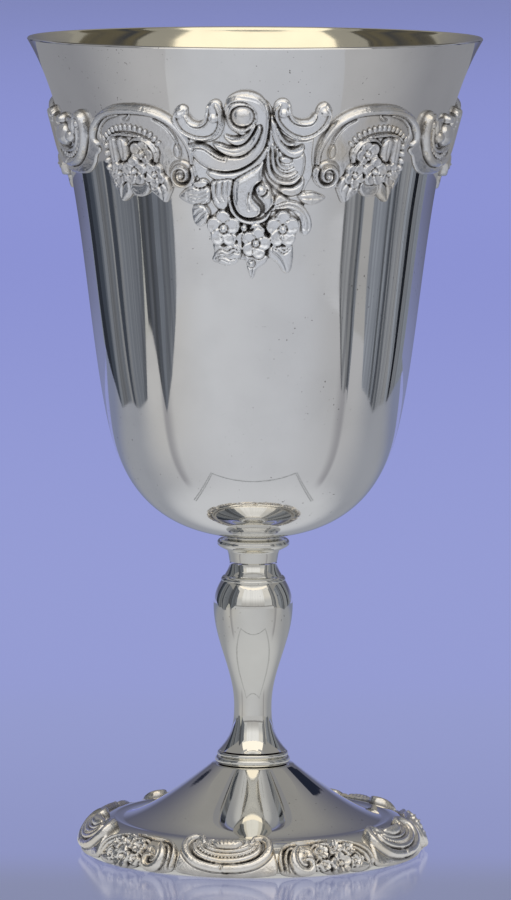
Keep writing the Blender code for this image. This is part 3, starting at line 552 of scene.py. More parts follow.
def smooth_path(stations, closed=False):
    """A smooth curve through the stations, as closely spaced points."""
    points = np.array(stations, dtype=float)
    if closed:
        padded = np.vstack([points[-1], points, points[:2]])
    elif len(points) == 2:
        count = max(int(np.hypot(*(points[1] - points[0])[:2]) / PATH_STEP), 1)
        return points[0] + (points[1] - points[0]) * np.linspace(0, 1, count + 1)[:, None]
    else:
        padded = np.vstack([2 * points[0] - points[1], points, 2 * points[-1] - points[-2]])
    path = []
    for index in range(1, len(padded) - 2):
        before, first, second, after = padded[index - 1:index + 3]
        count = max(int(np.hypot(*(second - first)[:2]) / PATH_STEP), 1)
        for t in np.arange(count) / count:
            path.append(0.5 * (2 * first + (second - before) * t
                               + (2 * before - 5 * first + 4 * second - after) * t ** 2
                               + (3 * first - before - 3 * second + after) * t ** 3))
    return np.array(path + [padded[-2]])


def softened(height, passes):
    """The height blurred by small steps."""
    for _ in range(passes):
        for axis in (0, 1):
            height = (np.roll(height, 1, axis) + 2 * height + np.roll(height, -1, axis)) / 4
    return height


# %% The relief grid
GRID = 0.14
GROOVE_WIDTH = 0.34
GROOVE_DEPTH = 0.52
GROOVE_FLOOR = 0.15
SLAB_REACH = 0.8
FAR = 9.0


def nearest(x, z, a, b):
    """How far along the line from a to b each grid point's nearest place is, and how far away."""
    run = b[:2] - a[:2]
    share = np.clip(((x - a[0]) * run[0] + (z - a[1]) * run[1]) / max(run @ run, 1e-9), 0, 1)
    return share, np.hypot(x - a[0] - share * run[0], z - a[1] - share * run[1])


class Relief:
    """A drawing in millimetres: how far inside the outline each grid point is, and its height."""

    def __init__(self, left, right, low, high):
        """An empty grid between two places across and two heights."""
        self.columns = np.arange(left, right, GRID)
        self.rows = np.arange(low, high, GRID)
        self.across, self.up = np.meshgrid(self.columns, self.rows)
        self.cover = np.full(self.across.shape, -1.0)
        self.height = np.zeros(self.across.shape)
        self.beads = []

    def window(self, points, reach):
        """The part of the grid within reach of some points."""
        first, last = np.searchsorted(self.columns, (points[:, 0].min() - reach, points[:, 0].max() + reach))
        low, high = np.searchsorted(self.rows, (points[:, 1].min() - reach, points[:, 1].max() + reach))
        return slice(low, high), slice(first, last)

    def along(self, path):
        """For points near a path: distance in half widths, half width and height there."""
        away = np.full(self.cover.shape, FAR)
        width = np.full(self.cover.shape, 0.1)
        top = np.zeros(self.cover.shape)
        for a, b in zip(path, path[1:]):
            box = self.window(np.array((a, b)), max(a[2], b[2]) + 3 * GRID)
            share, distance = nearest(self.across[box], self.up[box], a, b)
            here = a[2] + share * (b[2] - a[2])
            ratio = distance / here
            closer = ratio < away[box]
            away[box] = np.where(closer, ratio, away[box])
            width[box] = np.where(closer, here, width[box])
            top[box] = np.where(closer, a[3] + share * (b[3] - a[3]), top[box])
        return away, width, top

    def lay(self, inside_by, laid, groove=1.0):
        """Lay a shape over what is there, with a groove round it."""
        near = np.clip(1 + inside_by / GROOVE_WIDTH, 0, 1)
        floor = np.minimum(self.height, GROOVE_FLOOR)
        cut = np.maximum(self.height - groove * GROOVE_DEPTH * near ** 2, floor)
        self.height = np.where(inside_by > 0, laid, cut)
        self.cover = np.maximum(self.cover, inside_by)

    def stroke(self, stations, section=domed, groove=1.0):
        """Lay a stroke through stations of (x, z, half width, height)."""
        away, width, top = self.along(smooth_path(stations))
        inside_by = np.where(away < FAR, width * (1 - away), -1.0)
        self.lay(inside_by, top * section(np.minimum(away, 1.0)), groove)

    def line(self, points, half_width, height, section=domed, groove=1.0):
        """A stroke of one width and height, drawn fine at both ends."""
        count = len(points) - 1
        self.stroke([(x, z, half_width * (0.55 if index in (0, count) else 1.0), height)
                     for index, (x, z) in enumerate(points)], section, groove)

    def cut(self, points, half_width, depth):
        """Carve a groove through points of (x, z), fading at its end."""
        count = len(points) - 1
        path = smooth_path([(x, z, half_width, depth * (1 - 0.6 * index / count))
                            for index, (x, z) in enumerate(points)])
        away, _, deep = self.along(path)
        self.height = self.height - deep * (1 - np.minimum(away, 1.0) ** 2)

    def slab(self, outline, height, bevel=0.8, lean=(0.0, 0.0), section=domed):
        """Lay a flat shape with rounded edges inside a smooth outline, leaning in mm per mm."""
        loop = smooth_path(outline, closed=True)
        box = self.window(loop, SLAB_REACH)
        x, z = self.across[box], self.up[box]
        near = np.full(x.shape, np.inf)
        inside = np.zeros(x.shape, dtype=bool)
        for a, b in zip(loop, loop[1:]):
            near = np.minimum(near, nearest(x, z, a, b)[1])
            if a[1] != b[1]:
                crossing = a[0] + (z - a[1]) * (b[0] - a[0]) / (b[1] - a[1])
                inside ^= ((a[1] > z) != (b[1] > z)) & (x < crossing)
        inside_by = np.full(self.cover.shape, -1.0)
        inside_by[box] = np.where(inside, near, -near)
        middle = loop.mean(axis=0)
        top = height + lean[0] * (self.across - middle[0]) + lean[1] * (self.up - middle[1])
        self.lay(inside_by, top * section(1 - np.clip(inside_by / bevel, 0, 1)))

    def ball(self, x, z, radius, height, groove=1.0):
        """A round boss."""
        self.stroke([(x, z, radius, height), (x + 0.02, z, radius, height)], domed, groove)

    def swell(self, x, z, radius, height):
        """A soft swelling of what is there, with no groove."""
        away = np.hypot(self.across - x, self.up - z) / radius
        risen = height * (1 - np.minimum(away, 1.0) ** 2) ** 0.6
        self.height = np.maximum(self.height, np.where(self.cover > 0, risen, 0.0))

    def string(self, points, count, length, width, lift):
        """Remember a string of beads along a line of (x, z) points."""
        self.beads.append((points, count, length, width, lift))


# %% Blossoms and leaves
PETALS = 5


def blossom(relief, x, z, radius, height, turn):
    """Dished petals round a seed."""
    relief.ball(x, z, radius * 0.9, height * 0.85, 0.5)
    for petal in range(PETALS):
        angle = radians(turn + 360 / PETALS * petal)
        way = np.array((cos(angle), sin(angle))) * radius
        relief.stroke([(x + 0.24 * way[0], z + 0.24 * way[1], radius * 0.26, height * 0.85),
                       (x + 0.54 * way[0], z + 0.54 * way[1], radius * 0.45, height)], dished, 0.45)
    relief.ball(x, z, radius * 0.25, height * 1.12, 0.6)


LEAF_SHAPE = ((0, 0.6, 0.9), (0.3, 1, 1), (0.6, 0.85, 1), (0.85, 0.42, 0.9), (1.0, 0.0, 0.7))


def leaf(relief, root, tip, half_width, height):
    """A pointed leaf with a groove down its middle and one short side vein on each hand."""
    start, run = np.array(root), np.array(tip) - np.array(root)
    side = np.array((-run[1], run[0])) / np.hypot(*run)
    relief.stroke([(*(start + share * run), max(half_width * wide, 0.12), height * tall)
                   for share, wide, tall in LEAF_SHAPE], blunt)
    relief.cut([start, start + 0.9 * run], 0.24, 0.45)
    fork = start + run * 0.12
    for hand in (-1, 1):
        relief.cut([fork, fork + run * 0.2 + hand * side * half_width * 0.85], 0.17, 0.35)


# %% [markdown]
# ## Strings of beads
#
# The arch of each shell and lunette is edged with small beads. A chaser makes them with a
# hollow punch, one beside the other along a line. Geometry Nodes do just that: a line is
# divided evenly, a small bead is set at each mark, and the copies are made real.

# %% The tree that sets beads along a line
def bead_tree():
    """Node tree: set beads evenly along a line."""
    tree, given = geometry_tree("beads along a line", "String of beads", Line="Geometry", Beads="Int",
                                Length="Float", Width="Float", Metal="Material")
    curve = add_node(tree, "GeometryNodeMeshToCurve", Mesh=given["Line"]).outputs[0]
    marks = add_node(tree, "GeometryNodeResampleCurve", Curve=curve, Count=given["Beads"]).outputs[0]
    ball = add_node(tree, "GeometryNodeMeshUVSphere", Segments=12, Rings=7, Radius=1.0).outputs["Mesh"]
    tangent = tree.nodes.new("GeometryNodeInputTangent").outputs[0]
    turn = add_node(tree, "FunctionNodeAlignRotationToVector", {"axis": "X"}, Vector=tangent).outputs[0]
    size = add_node(tree, "ShaderNodeCombineXYZ", X=given["Length"], Y=given["Width"],
                    Z=given["Length"]).outputs[0]
    beads = add_node(tree, "GeometryNodeInstanceOnPoints", Points=marks, Instance=ball, Rotation=turn,
                     Scale=size).outputs[0]
    end_tree(tree, beads, given["Metal"])
    return tree


BEADS = bead_tree()


def beads_on(points, count, length, width):
    """Points (x, z, lift) and faces of a string of beads in a flat drawing."""
    line = string_of_points("bead line", [(x, z, 0.0) for x, z in smooth_path(points)[:, :2]])
    mesh = nodes_applied("bead line", line, BEADS,
                         {"Beads": count, "Length": length, "Width": width, "Metal": cast_silver})
    places = np.array([vertex.co[:] for vertex in mesh.vertices])
    faces = [tuple(face.vertices) for face in mesh.polygons]
    return places, faces


# %% Find the hollows of a relief
CLOSE_PASSES = 9
WIDE_PASSES = 60


def recess_of(height, tarnish):
    """How far each grid point lies under its close and its wider surroundings."""
    close = softened(height, CLOSE_PASSES) - height
    wide = softened(height, WIDE_PASSES) - height
    return np.clip((close - 0.05) / 0.26, 0, 1) + tarnish * np.clip((wide - 0.15) / 0.7, 0, 1)


# %% Close a relief with a back
CAST_BACK = 0.3
LOWEST = 0.12
# The outer edge of each casting is darkened: tarnish at the joint, and painted shade.
EDGE_TARNISH_AND_SHADE = 0.8
# Painted shade: the foot's castings are darkened low down, where they come near the table, up to this height.
PAINTED_TABLE_SHADE = 0.7
PAINTED_TABLE_SHADE_HEIGHT = 2.6 * MM


def closing_faces(kept, number, count):
    """Faces of the front, of the back and of the rim between them, from the numbers of the points."""
    corner = [number[:-1, :-1], number[:-1, 1:], number[1:, 1:], number[1:, :-1]]
    front = np.stack([numbers[kept] for numbers in corner], axis=1)
    faces = [front, front[:, ::-1] + count]
    framed = np.pad(kept, 1)
    for first, second, beyond in ((0, 1, framed[:-2, 1:-1]), (1, 2, framed[1:-1, 2:]),
                                  (2, 3, framed[2:, 1:-1]), (3, 0, framed[1:-1, :-2])):
        rim = kept & ~beyond
        a, b = corner[first][rim], corner[second][rim]
        faces.append(np.stack([b, a, a + count, b + count], axis=1))
    return [tuple(face) for face in np.vstack(faces).tolist()]


def closed_casting(relief, bend, tarnish):
    """Points, faces and darkness of a relief, for tarnish and painted shade, closed by a back and bent round
    the goblet.
    """
    height = softened(relief.height, 1)
    inside = relief.cover > 0
    # Tarnish in the hollows; the edge of the casting gets tarnish and painted shade.
    tarnish_and_shade = np.where(inside, recess_of(height, tarnish), EDGE_TARNISH_AND_SHADE)
    height = np.where(inside, np.maximum(height, LOWEST), LOWEST)
    slope_z, slope_x = np.gradient(relief.cover, GRID)
    steep = np.maximum(slope_x ** 2 + slope_z ** 2, 0.25)
    shift = np.where(inside, 0.0, np.clip(-relief.cover / steep, 0, 1.4 * GRID))
    kept = inside[:-1, :-1] | inside[1:, :-1] | inside[:-1, 1:] | inside[1:, 1:]
    used = np.zeros(inside.shape, dtype=bool)
    for rows in (slice(None, -1), slice(1, None)):
        for columns in (slice(None, -1), slice(1, None)):
            used[rows, columns] |= kept
    number = np.cumsum(used).reshape(used.shape) - 1
    count = int(used.sum())
    x = (relief.across + shift * slope_x)[used]
    z = (relief.up + shift * slope_z)[used]
    points = np.vstack([bend(x, z, height[used]), bend(x, z, np.full(count, -CAST_BACK))])
    faces = closing_faces(kept, number, count)
    # Painted shade on the lowest points of the foot's castings, near the table.
    low = np.clip(1 - points[:count, 2] / PAINTED_TABLE_SHADE_HEIGHT, 0, 1)
    tarnish_and_shade = list(tarnish_and_shade[used] + PAINTED_TABLE_SHADE * low) + [1.0] * count
    for line, how_many, length, width, lift in relief.beads:
        places, bead_faces = beads_on(line, how_many, length, width)
        faces += [tuple(index + len(points) for index in face) for face in bead_faces]
        tarnish_and_shade += list(np.clip(0.45 - places[:, 2] / length, 0, 1))
        points = np.vstack([points, bend(places[:, 0], places[:, 1], places[:, 2] + lift)])
    return points, faces, tarnish_and_shade


# %% Put a casting round the goblet
CAST_SHARP_ANGLE = 60.0


def casting_piece(name, casting, turn, mirrored, node, metal):
    """Put a casting round the goblet at an angle, either hand, in place of its solid."""
    points, faces, tarnish_and_shade = casting
    placed = points * (-1.0 if mirrored else 1.0, 1.0, 1.0)
    if mirrored:
        faces = [face[::-1] for face in faces]
    c, s = cos(turn), sin(turn)
    placed = placed @ np.array(((c, s, 0.0), (-s, c, 0.0), (0.0, 0.0, 1.0)))
    mesh = bpy.data.meshes.new(name)
    mesh.from_pydata(placed.tolist(), [], faces)
    mesh.attributes.new("tarnish_and_shade", "FLOAT", "POINT").data.foreach_set("value", tarnish_and_shade)
    mesh.materials.append(metal)
    add_piece(name, mesh, [node], CAST_SHARP_ANGLE)
    print(f"{name}: {len(faces)} faces")


# %% Bending to the bowl and to the foot
WALL_POINTS = np.array(BOWL_OUTSIDE)
BORDER_RADIUS = 41.0
FOOT_BORDER_RADIUS = 31.9
FOOT_QUARTER = 11.5
TABLE_CLEARANCE = 0.3 * MM


def bend_to_bowl(x, z, lift):
    """Places on the bowl's wall of a flat drawing, x round the bowl and z up from the table."""
    height = z * MM
    radius, above, below = (np.interp(height + step, WALL_POINTS[:, 1], WALL_POINTS[:, 0])
                            for step in (0.0, MM, -MM))
    length = np.hypot(2 * MM, above - below)
    reach = radius + lift * MM * 2 * MM / length
    turn = x / BORDER_RADIUS
    return np.column_stack((reach * np.sin(turn), -reach * np.cos(turn),
                            height + lift * MM * (below - above) / length))


def bend_to_foot(x, v, lift):
    """Places on the foot's rounded edge, x round the foot and v up from the table."""
    place, outward = foot_edge(np.maximum(v, 0.0) / FOOT_QUARTER * pi / 2)
    reach = place[0] + lift * MM * outward[0]
    height = np.maximum(place[1] + lift * MM * outward[1], TABLE_CLEARANCE)
    turn = x / FOOT_BORDER_RADIUS
    return np.column_stack((reach * np.sin(turn), -reach * np.cos(turn), height))


# %% [markdown]
# ## The front cartouche
#
# The tallest casting is soldered to the front of the bowl. Two C scrolls open upwards, a
# plume grows up between them and rolls into a volute, and blossoms and leaves hang below.
# Numbers are millimetres: round the bowl from the casting's middle, and up from the table.

# %% Draw the ground and the leaves of the front cartouche
def draw_front_ground(relief):
    """The thin plate that holds the ornament together."""
    relief.slab([(-13, 152), (-9, 154), (-6.2, 157), (-3, 159.5), (2, 159.5), (4.5, 156), (9, 152.8),
                 (12, 152), (12.2, 148), (12.4, 144), (11, 141), (11, 137.5), (8.5, 132), (6.5, 128),
                 (2, 127), (-4, 127), (-8, 130), (-9.5, 134), (-11, 138), (-11.6, 142), (-13.2, 145),
                 (-14.5, 148.5)], 0.55, 0.4)


def draw_front_leaves(relief):
    """Pointed leaves at both sides and below."""
    relief.slab([(-17.0, 139.6), (-15.4, 138.3), (-13.0, 137.7), (-11.0, 138.0), (-9.6, 139.0),
                 (-9.4, 141.4), (-11.5, 142.2), (-14.4, 141.8)], 1.3, 0.9, (0.16, 0.1))
    for low in (0.0, 0.9, 1.8):
        relief.cut([(-10.0, 139.4 + low), (-12.2, 138.7 + 0.9 * low), (-14.8, 139.2 + 0.7 * low)],
                   0.22, 0.45)
    relief.slab([(-13.4, 142.3), (-12.4, 141.5), (-10.8, 141.6), (-9.8, 142.6), (-10.8, 143.3),
                 (-12.2, 143.0)], 1.5, 0.6)
    relief.slab([(-13.9, 137.4), (-14.0, 135.2), (-13.3, 133.7), (-11.8, 133.5), (-10.4, 134.6),
                 (-9.8, 136.4), (-10.8, 137.9), (-12.4, 138.2)], 1.3, 0.9, (0.22, 0.1))
    relief.cut([(-10.6, 136.6), (-11.8, 135.8), (-13.2, 134.4)], 0.26, 0.5)
    relief.cut([(-11.2, 137.3), (-12.4, 136.8), (-13.4, 135.8)], 0.22, 0.4)
    relief.slab([(9.4, 140.3), (11.5, 140.8), (13.6, 140.6), (15.9, 139.5), (14.4, 138.3), (12.6, 137.9),
                 (10.6, 138.4)], 1.3, 0.9, (-0.14, 0.1))
    relief.cut([(10.0, 139.6), (12.4, 139.5), (14.6, 139.4)], 0.24, 0.5)
    relief.slab([(-9.4, 130.2), (-9.3, 128.2), (-9.8, 126.7), (-8.4, 126.0), (-6.4, 125.6), (-4.4, 125.9),
                 (-3.2, 127.2), (-2.8, 129.3), (-4.0, 130.6), (-7.0, 131.0)], 1.4, 0.9, (0.16, 0.16))
    relief.line([(-8.6, 128.2), (-7.4, 128.7), (-6.0, 128.3), (-4.6, 129.0), (-3.6, 128.6)], 0.42, 1.6)
    relief.line([(-8.8, 127.0), (-7.2, 127.3), (-5.6, 126.7), (-4.2, 127.0)], 0.36, 1.4)
    relief.slab([(3.0, 129.4), (4.6, 130.3), (6.6, 130.4), (8.6, 130.0), (9.0, 128.2), (8.9, 126.0),
                 (8.4, 124.4), (7.4, 124.0), (6.4, 124.5), (5.4, 125.9), (4.2, 126.7), (3.1, 127.6)],
                1.4, 0.9, (-0.16, 0.14))
    relief.cut([(4.2, 128.9), (5.8, 127.6), (6.8, 126.2), (7.4, 124.8)], 0.26, 0.55)
    relief.line([(4.2, 129.4), (5.4, 129.3), (6.6, 128.6), (7.8, 129.2)], 0.36, 1.5)
    relief.slab([(-2.2, 127.9), (-1.9, 126.2), (-1.5, 124.4), (-0.7, 122.9), (0.0, 123.4), (0.6, 124.8),
                 (1.7, 125.5), (2.9, 126.4), (3.1, 127.8), (1.0, 128.4)], 1.1, 0.8)
    relief.ball(-0.7, 126.2, 0.9, 1.7)
    relief.cut([(-0.6, 124.9), (-0.7, 123.6)], 0.24, 0.4)


# %% Draw the two C scrolls
def draw_front_scrolls(relief):
    """Open C scrolls: a hollow body between raised rims, with a ball in each horn."""
    relief.slab([(-13.3, 157.6), (-14.3, 158.3), (-15.7, 157.8), (-16.6, 156.5), (-16.6, 154.6),
                 (-15.6, 152.8), (-13.6, 151.5), (-11.4, 150.9), (-9.2, 151.0), (-7.5, 151.8),
                 (-6.5, 153.2), (-6.1, 155.0), (-6.2, 157.0), (-6.5, 158.8), (-7.6, 159.5), (-8.9, 158.9),
                 (-9.7, 157.6), (-9.9, 156.0), (-10.3, 154.8), (-11.1, 154.2), (-12.4, 154.3),
                 (-13.3, 155.3), (-13.4, 156.5)], 1.3, 0.5)
    relief.line([(-14.2, 157.6), (-15.6, 157.0), (-16.0, 155.2), (-14.8, 153.1), (-12.4, 151.9),
                 (-9.8, 151.7), (-7.9, 152.6), (-6.9, 154.6), (-6.9, 157.0), (-7.6, 158.7)], 0.38, 1.9)
    relief.line([(-9.2, 158.2), (-9.5, 156.4), (-10.1, 155.0), (-11.3, 154.4), (-12.8, 154.8),
                 (-13.7, 156.2)], 0.42, 2.0)
    relief.slab([(3.5, 157.5), (3.9, 158.9), (5.0, 159.7), (6.3, 159.5), (7.1, 158.4), (7.4, 157.0),
                 (7.6, 155.8), (8.5, 154.9), (9.9, 154.6), (11.3, 154.9), (12.1, 155.9), (12.1, 157.2),
                 (12.7, 158.4), (13.9, 158.9), (15.0, 158.3), (15.6, 156.9), (15.4, 155.0), (14.4, 153.2),
                 (12.5, 151.8), (10.0, 151.1), (7.5, 151.5), (5.5, 152.8), (4.1, 154.6), (3.5, 156.3)],
                1.3, 0.5)
    relief.line([(4.9, 158.9), (4.1, 157.4), (4.5, 155.4), (6.0, 153.5), (8.0, 152.2), (10.2, 151.8),
                 (12.4, 152.6), (14.2, 154.4), (14.9, 156.6), (14.2, 158.2)], 0.4, 1.9)
    relief.line([(6.6, 158.6), (7.0, 156.6), (7.9, 155.4), (9.6, 154.9), (11.2, 155.2), (12.0, 156.4)],
                0.42, 2.0)
    for x, z, radius in ((-14.9, 156.6, 1.25), (-8.1, 155.9, 1.3), (5.6, 157.0, 1.3), (13.7, 157.1, 1.25)):
        relief.swell(x, z, radius, 2.15)


# %% Draw the plume and its volute
def draw_front_plume(relief):
    """The crescent leaf, the tongues inside it, and the volute they roll up to."""
    relief.slab([(-10.2, 144.7), (-8.8, 143.4), (-6.5, 142.9), (-4.0, 143.2), (-1.4, 144.3), (0.8, 145.8),
                 (2.3, 147.8), (2.7, 150.2), (1.6, 149.4), (0.0, 147.2), (-2.0, 145.7), (-4.4, 144.9),
                 (-7.0, 144.8), (-9.0, 145.3)], 1.6, 0.7)
    relief.slab([(-13.7, 150.0), (-13.2, 148.4), (-11.7, 146.6), (-9.6, 145.4), (-7.2, 144.9),
                 (-4.6, 145.0), (-2.0, 145.9), (0.3, 147.5), (1.9, 149.6), (2.6, 152.0), (2.9, 155.0),
                 (2.8, 157.6), (1.7, 159.8), (-0.2, 161.0), (-2.6, 161.2), (-4.9, 160.2), (-5.9, 158.4),
                 (-5.8, 156.0), (-4.8, 153.8), (-2.8, 152.4), (-1.4, 151.4), (-2.0, 149.8), (-4.0, 148.9),
                 (-6.2, 148.3), (-8.0, 148.9), (-9.4, 149.9), (-11.0, 150.6), (-12.6, 150.6)],
                2.0, 1.2, (0.025, 0.03))
    relief.line([(-13.2, 149.4), (-12.0, 150.1), (-10.4, 150.0), (-8.9, 149.1), (-7.6, 148.2),
                 (-6.0, 147.6)], 0.36, 2.15)
    relief.ball(-13.1, 149.6, 0.6, 2.1)
    relief.slab([(-8.5, 150.7), (-7.6, 149.4), (-6.1, 148.4), (-4.2, 147.9), (-2.2, 148.3), (-0.4, 149.7),
                 (0.9, 151.8), (1.5, 154.2), (0.8, 155.0), (-0.2, 153.4), (-1.4, 151.6), (-3.2, 150.4),
                 (-5.2, 150.1), (-6.9, 150.6)], 2.15, 0.9, (0.02, 0.12))
    relief.cut([(-7.2, 149.9), (-5.4, 149.2), (-3.4, 149.1), (-1.4, 150.3), (0.0, 152.4)], 0.26, 0.55)
    relief.slab([(-6.2, 152.4), (-5.2, 151.0), (-3.6, 150.3), (-1.9, 150.9), (-0.6, 152.5), (0.3, 154.6),
                 (-0.4, 155.2), (-1.4, 153.4), (-2.8, 152.3), (-4.4, 152.0)], 2.3, 0.8, (0.03, 0.12))
    relief.slab([(-5.5, 156.2), (-5.2, 158.4), (-3.9, 159.5), (-2.0, 159.6), (-0.3, 158.4), (0.3, 156.6),
                 (-0.3, 154.6), (-1.6, 153.3), (-3.2, 153.2), (-4.7, 154.3)], 2.35, 0.9, section=blunt)
    relief.cut([(-0.6, 154.6), (-0.4, 156.6), (-1.0, 158.2), (-2.6, 158.7), (-4.1, 157.9), (-4.5, 156.3),
                (-3.8, 155.0), (-2.4, 154.6)], 0.24, 0.5)
    relief.ball(-2.4, 156.5, 2.4, 2.75, 0.4)
    relief.cut([(-5.4, 159.4), (-3.6, 160.4), (-1.0, 160.3), (0.8, 159.5), (1.8, 157.8)], 0.24, 0.4)


# %% Draw the tongues on the right of the plume
def draw_front_tongues(relief):
    """Nested tongues, one under the other, that curl out to the right of the plume."""
    relief.slab([(4.9, 141.3), (6.4, 140.2), (8.4, 140.0), (9.9, 140.8), (10.6, 142.4), (10.2, 143.8),
                 (9.3, 142.6), (7.8, 141.9), (6.2, 142.0)], 1.7, 0.6, (0.0, -0.1))
    relief.slab([(3.6, 138.2), (4.4, 139.7), (5.4, 140.5), (6.8, 139.8), (7.6, 139.0), (6.2, 138.3),
                 (4.8, 137.9)], 1.5, 0.7)
    relief.slab([(2.6, 155.0), (3.4, 156.5), (4.6, 154.0), (6.0, 151.0), (8.4, 149.6), (10.2, 148.6),
                 (10.6, 146.4), (10.0, 143.8), (8.4, 142.4), (6.2, 142.0), (4.2, 142.6), (2.8, 144.2),
                 (2.1, 146.6), (2.2, 149.6), (2.4, 152.4)], 1.4, 0.8)
    relief.line([(2.6, 151.4), (2.7, 147.8), (3.1, 145.1), (4.3, 143.5), (6.0, 142.8), (8.0, 142.9),
                 (9.4, 144.0)], 0.55, 1.9)
    relief.line([(3.6, 150.6), (3.7, 147.6), (4.2, 145.6), (5.4, 144.5), (7.0, 144.2), (8.6, 144.9)],
                0.48, 1.9)
    relief.line([(4.6, 149.8), (4.6, 147.6), (5.2, 146.3), (6.4, 145.7), (7.9, 146.1)], 0.4, 1.8)
    relief.slab([(5.0, 147.6), (5.6, 146.9), (6.8, 146.7), (7.8, 147.2), (7.4, 148.0), (6.0, 148.4)],
                1.8, 0.5)
    relief.slab([(3.0, 155.6), (3.4, 152.8), (4.3, 150.4), (5.8, 148.7), (7.6, 147.9), (9.2, 148.2),
                 (10.1, 149.4), (9.9, 150.4), (8.6, 149.8), (7.2, 149.9), (6.0, 151.2), (5.0, 153.0),
                 (4.2, 155.2)], 2.1, 0.7, (0.0, -0.1))
    relief.line([(4.4, 153.8), (5.4, 151.8), (6.6, 150.7), (8.0, 150.6)], 0.4, 1.8)
    relief.cut([(2.7, 153.6), (2.5, 150.5), (2.0, 147.6), (2.0, 144.8), (2.8, 142.8), (4.4, 141.2),
                (5.6, 140.6)], 0.36, 1.3)


# %% Draw the hanging bud and the small tongues on its left
def draw_front_bud(relief):
    """The S-shaped bud in the middle, with a ball in its bend."""
    relief.slab([(-9.3, 142.6), (-9.3, 140.0), (-8.8, 138.2), (-7.6, 137.1), (-6.2, 137.2), (-5.4, 138.6),
                 (-4.8, 141.0), (-4.6, 143.4), (-7.0, 143.4)], 1.5, 0.7)
    relief.cut([(-8.1, 142.8), (-8.3, 140.4), (-7.6, 138.9)], 0.28, 0.7)
    relief.cut([(-6.8, 142.8), (-7.0, 140.4), (-6.5, 139.2)], 0.26, 0.6)
    relief.cut([(-5.6, 143.0), (-6.0, 140.8), (-5.8, 139.6)], 0.24, 0.5)
    relief.line([(-5.4, 139.6), (-5.0, 137.4), (-3.8, 135.6), (-1.9, 134.7), (0.3, 134.6), (2.2, 135.3),
                 (3.4, 136.8)], 0.5, 1.7)
    relief.slab([(-4.0, 143.6), (-1.6, 145.0), (1.0, 146.6), (1.9, 147.2), (1.7, 145.0), (1.5, 143.2),
                 (0.4, 142.2), (-0.2, 141.2), (-0.4, 139.8), (0.4, 138.6), (1.4, 137.6), (1.2, 136.2),
                 (-0.2, 135.5), (-2.0, 135.5), (-3.6, 136.4), (-4.6, 138.2), (-4.8, 140.6), (-4.6, 142.4)],
                2.1, 1.5, (0.0, -0.02))
    relief.cut([(-1.2, 140.8), (-1.5, 139.0), (-1.2, 137.4)], 0.3, 0.7)
    relief.cut([(-3.6, 142.8), (-3.9, 141.0), (-3.8, 139.4)], 0.3, 0.4)
    relief.slab([(0.2, 140.6), (1.2, 139.2), (2.1, 137.8), (2.0, 136.4), (3.0, 136.9), (4.0, 138.2),
                 (4.2, 139.8), (3.6, 141.2), (2.8, 142.4), (1.4, 142.8), (0.3, 142.0)], 2.2, 1.3)
    relief.ball(1.4, 141.3, 1.3, 2.6)
    relief.cut([(-0.2, 140.4), (0.7, 139.2), (1.6, 138.1), (1.7, 136.6), (0.9, 135.9)], 0.36, 1.4)


# %% Draw the blossoms and the bands round the right one
def draw_front_blossoms(relief):
    """Three blossoms over the leaves, and curved bands that hook round the right one."""
    relief.slab([(3.4, 137.0), (5.0, 138.4), (7.6, 139.0), (10.2, 138.3), (12.0, 136.6), (12.9, 134.6),
                 (12.8, 132.8), (11.6, 131.7), (10.4, 132.3), (10.4, 134.0), (9.6, 135.6), (8.0, 136.8),
                 (5.6, 136.8)], 1.3, 0.7)
    for shift in (0.0, 1.0):
        relief.cut([(4.6, 137.6 - 0.5 * shift), (7.4, 138.2 - shift), (10.0, 137.3 - shift),
                    (11.7 - shift, 135.2), (11.9 - shift, 133.2)], 0.26, 0.7)
    blossom(relief, -6.8, 133.3, 3.9, 2.0, 90)
    blossom(relief, 6.2, 133.2, 3.9, 2.0, 90)
    relief.slab([(-3.8, 132.0), (-3.7, 130.2), (-2.6, 128.9), (-0.8, 128.4), (-0.2, 130.0), (-1.0, 132.0),
                 (-2.4, 132.8)], 1.8, 0.6, section=dished)
    relief.slab([(-1.2, 131.0), (-1.1, 133.4), (-0.2, 134.4), (1.4, 134.2), (2.4, 132.8), (1.9, 130.8),
                 (0.4, 130.0)], 2.1, 0.6, section=dished)
    relief.slab([(-0.6, 130.2), (-1.2, 128.6), (0.2, 127.7), (1.6, 128.3), (1.6, 129.8), (0.4, 130.6)],
                1.7, 0.5, section=dished)
    blossom(relief, 0.3, 130.4, 3.4, 2.2, 75)
    relief.ball(-2.3, 133.5, 0.9, 1.9)


# %% Cast the front cartouche
def drawn(draws, left, right, low, high):
    """A relief with several drawings laid on it."""
    relief = Relief(left, right, low, high)
    for draw in draws:
        draw(relief)
    return relief


front_relief = drawn((draw_front_ground, draw_front_leaves, draw_front_scrolls, draw_front_tongues,
                      draw_front_plume, draw_front_bud, draw_front_blossoms), -19, 18, 121, 163)
front_casting = closed_casting(front_relief, bend_to_bowl, 0.25)
casting_piece("front_ornament", front_casting, 0.0, False, "front_cartouche", cast_silver)

# %% [markdown]
# ## The shells and lunettes of the bowl
#
# Five shell castings go round the bowl, and a small lunette fills each gap between them.
# A founder uses one pattern several times, so each drawing is made once. The shell is
# drawn with its volute on the left. It stands like that on the goblet's right and at the
# back, and as a mirror image on the left, so that both shells beside the front cartouche
# have their volutes next to it.

# %% Draw a shell for the bowl
SPIRAL_STEPS = 28


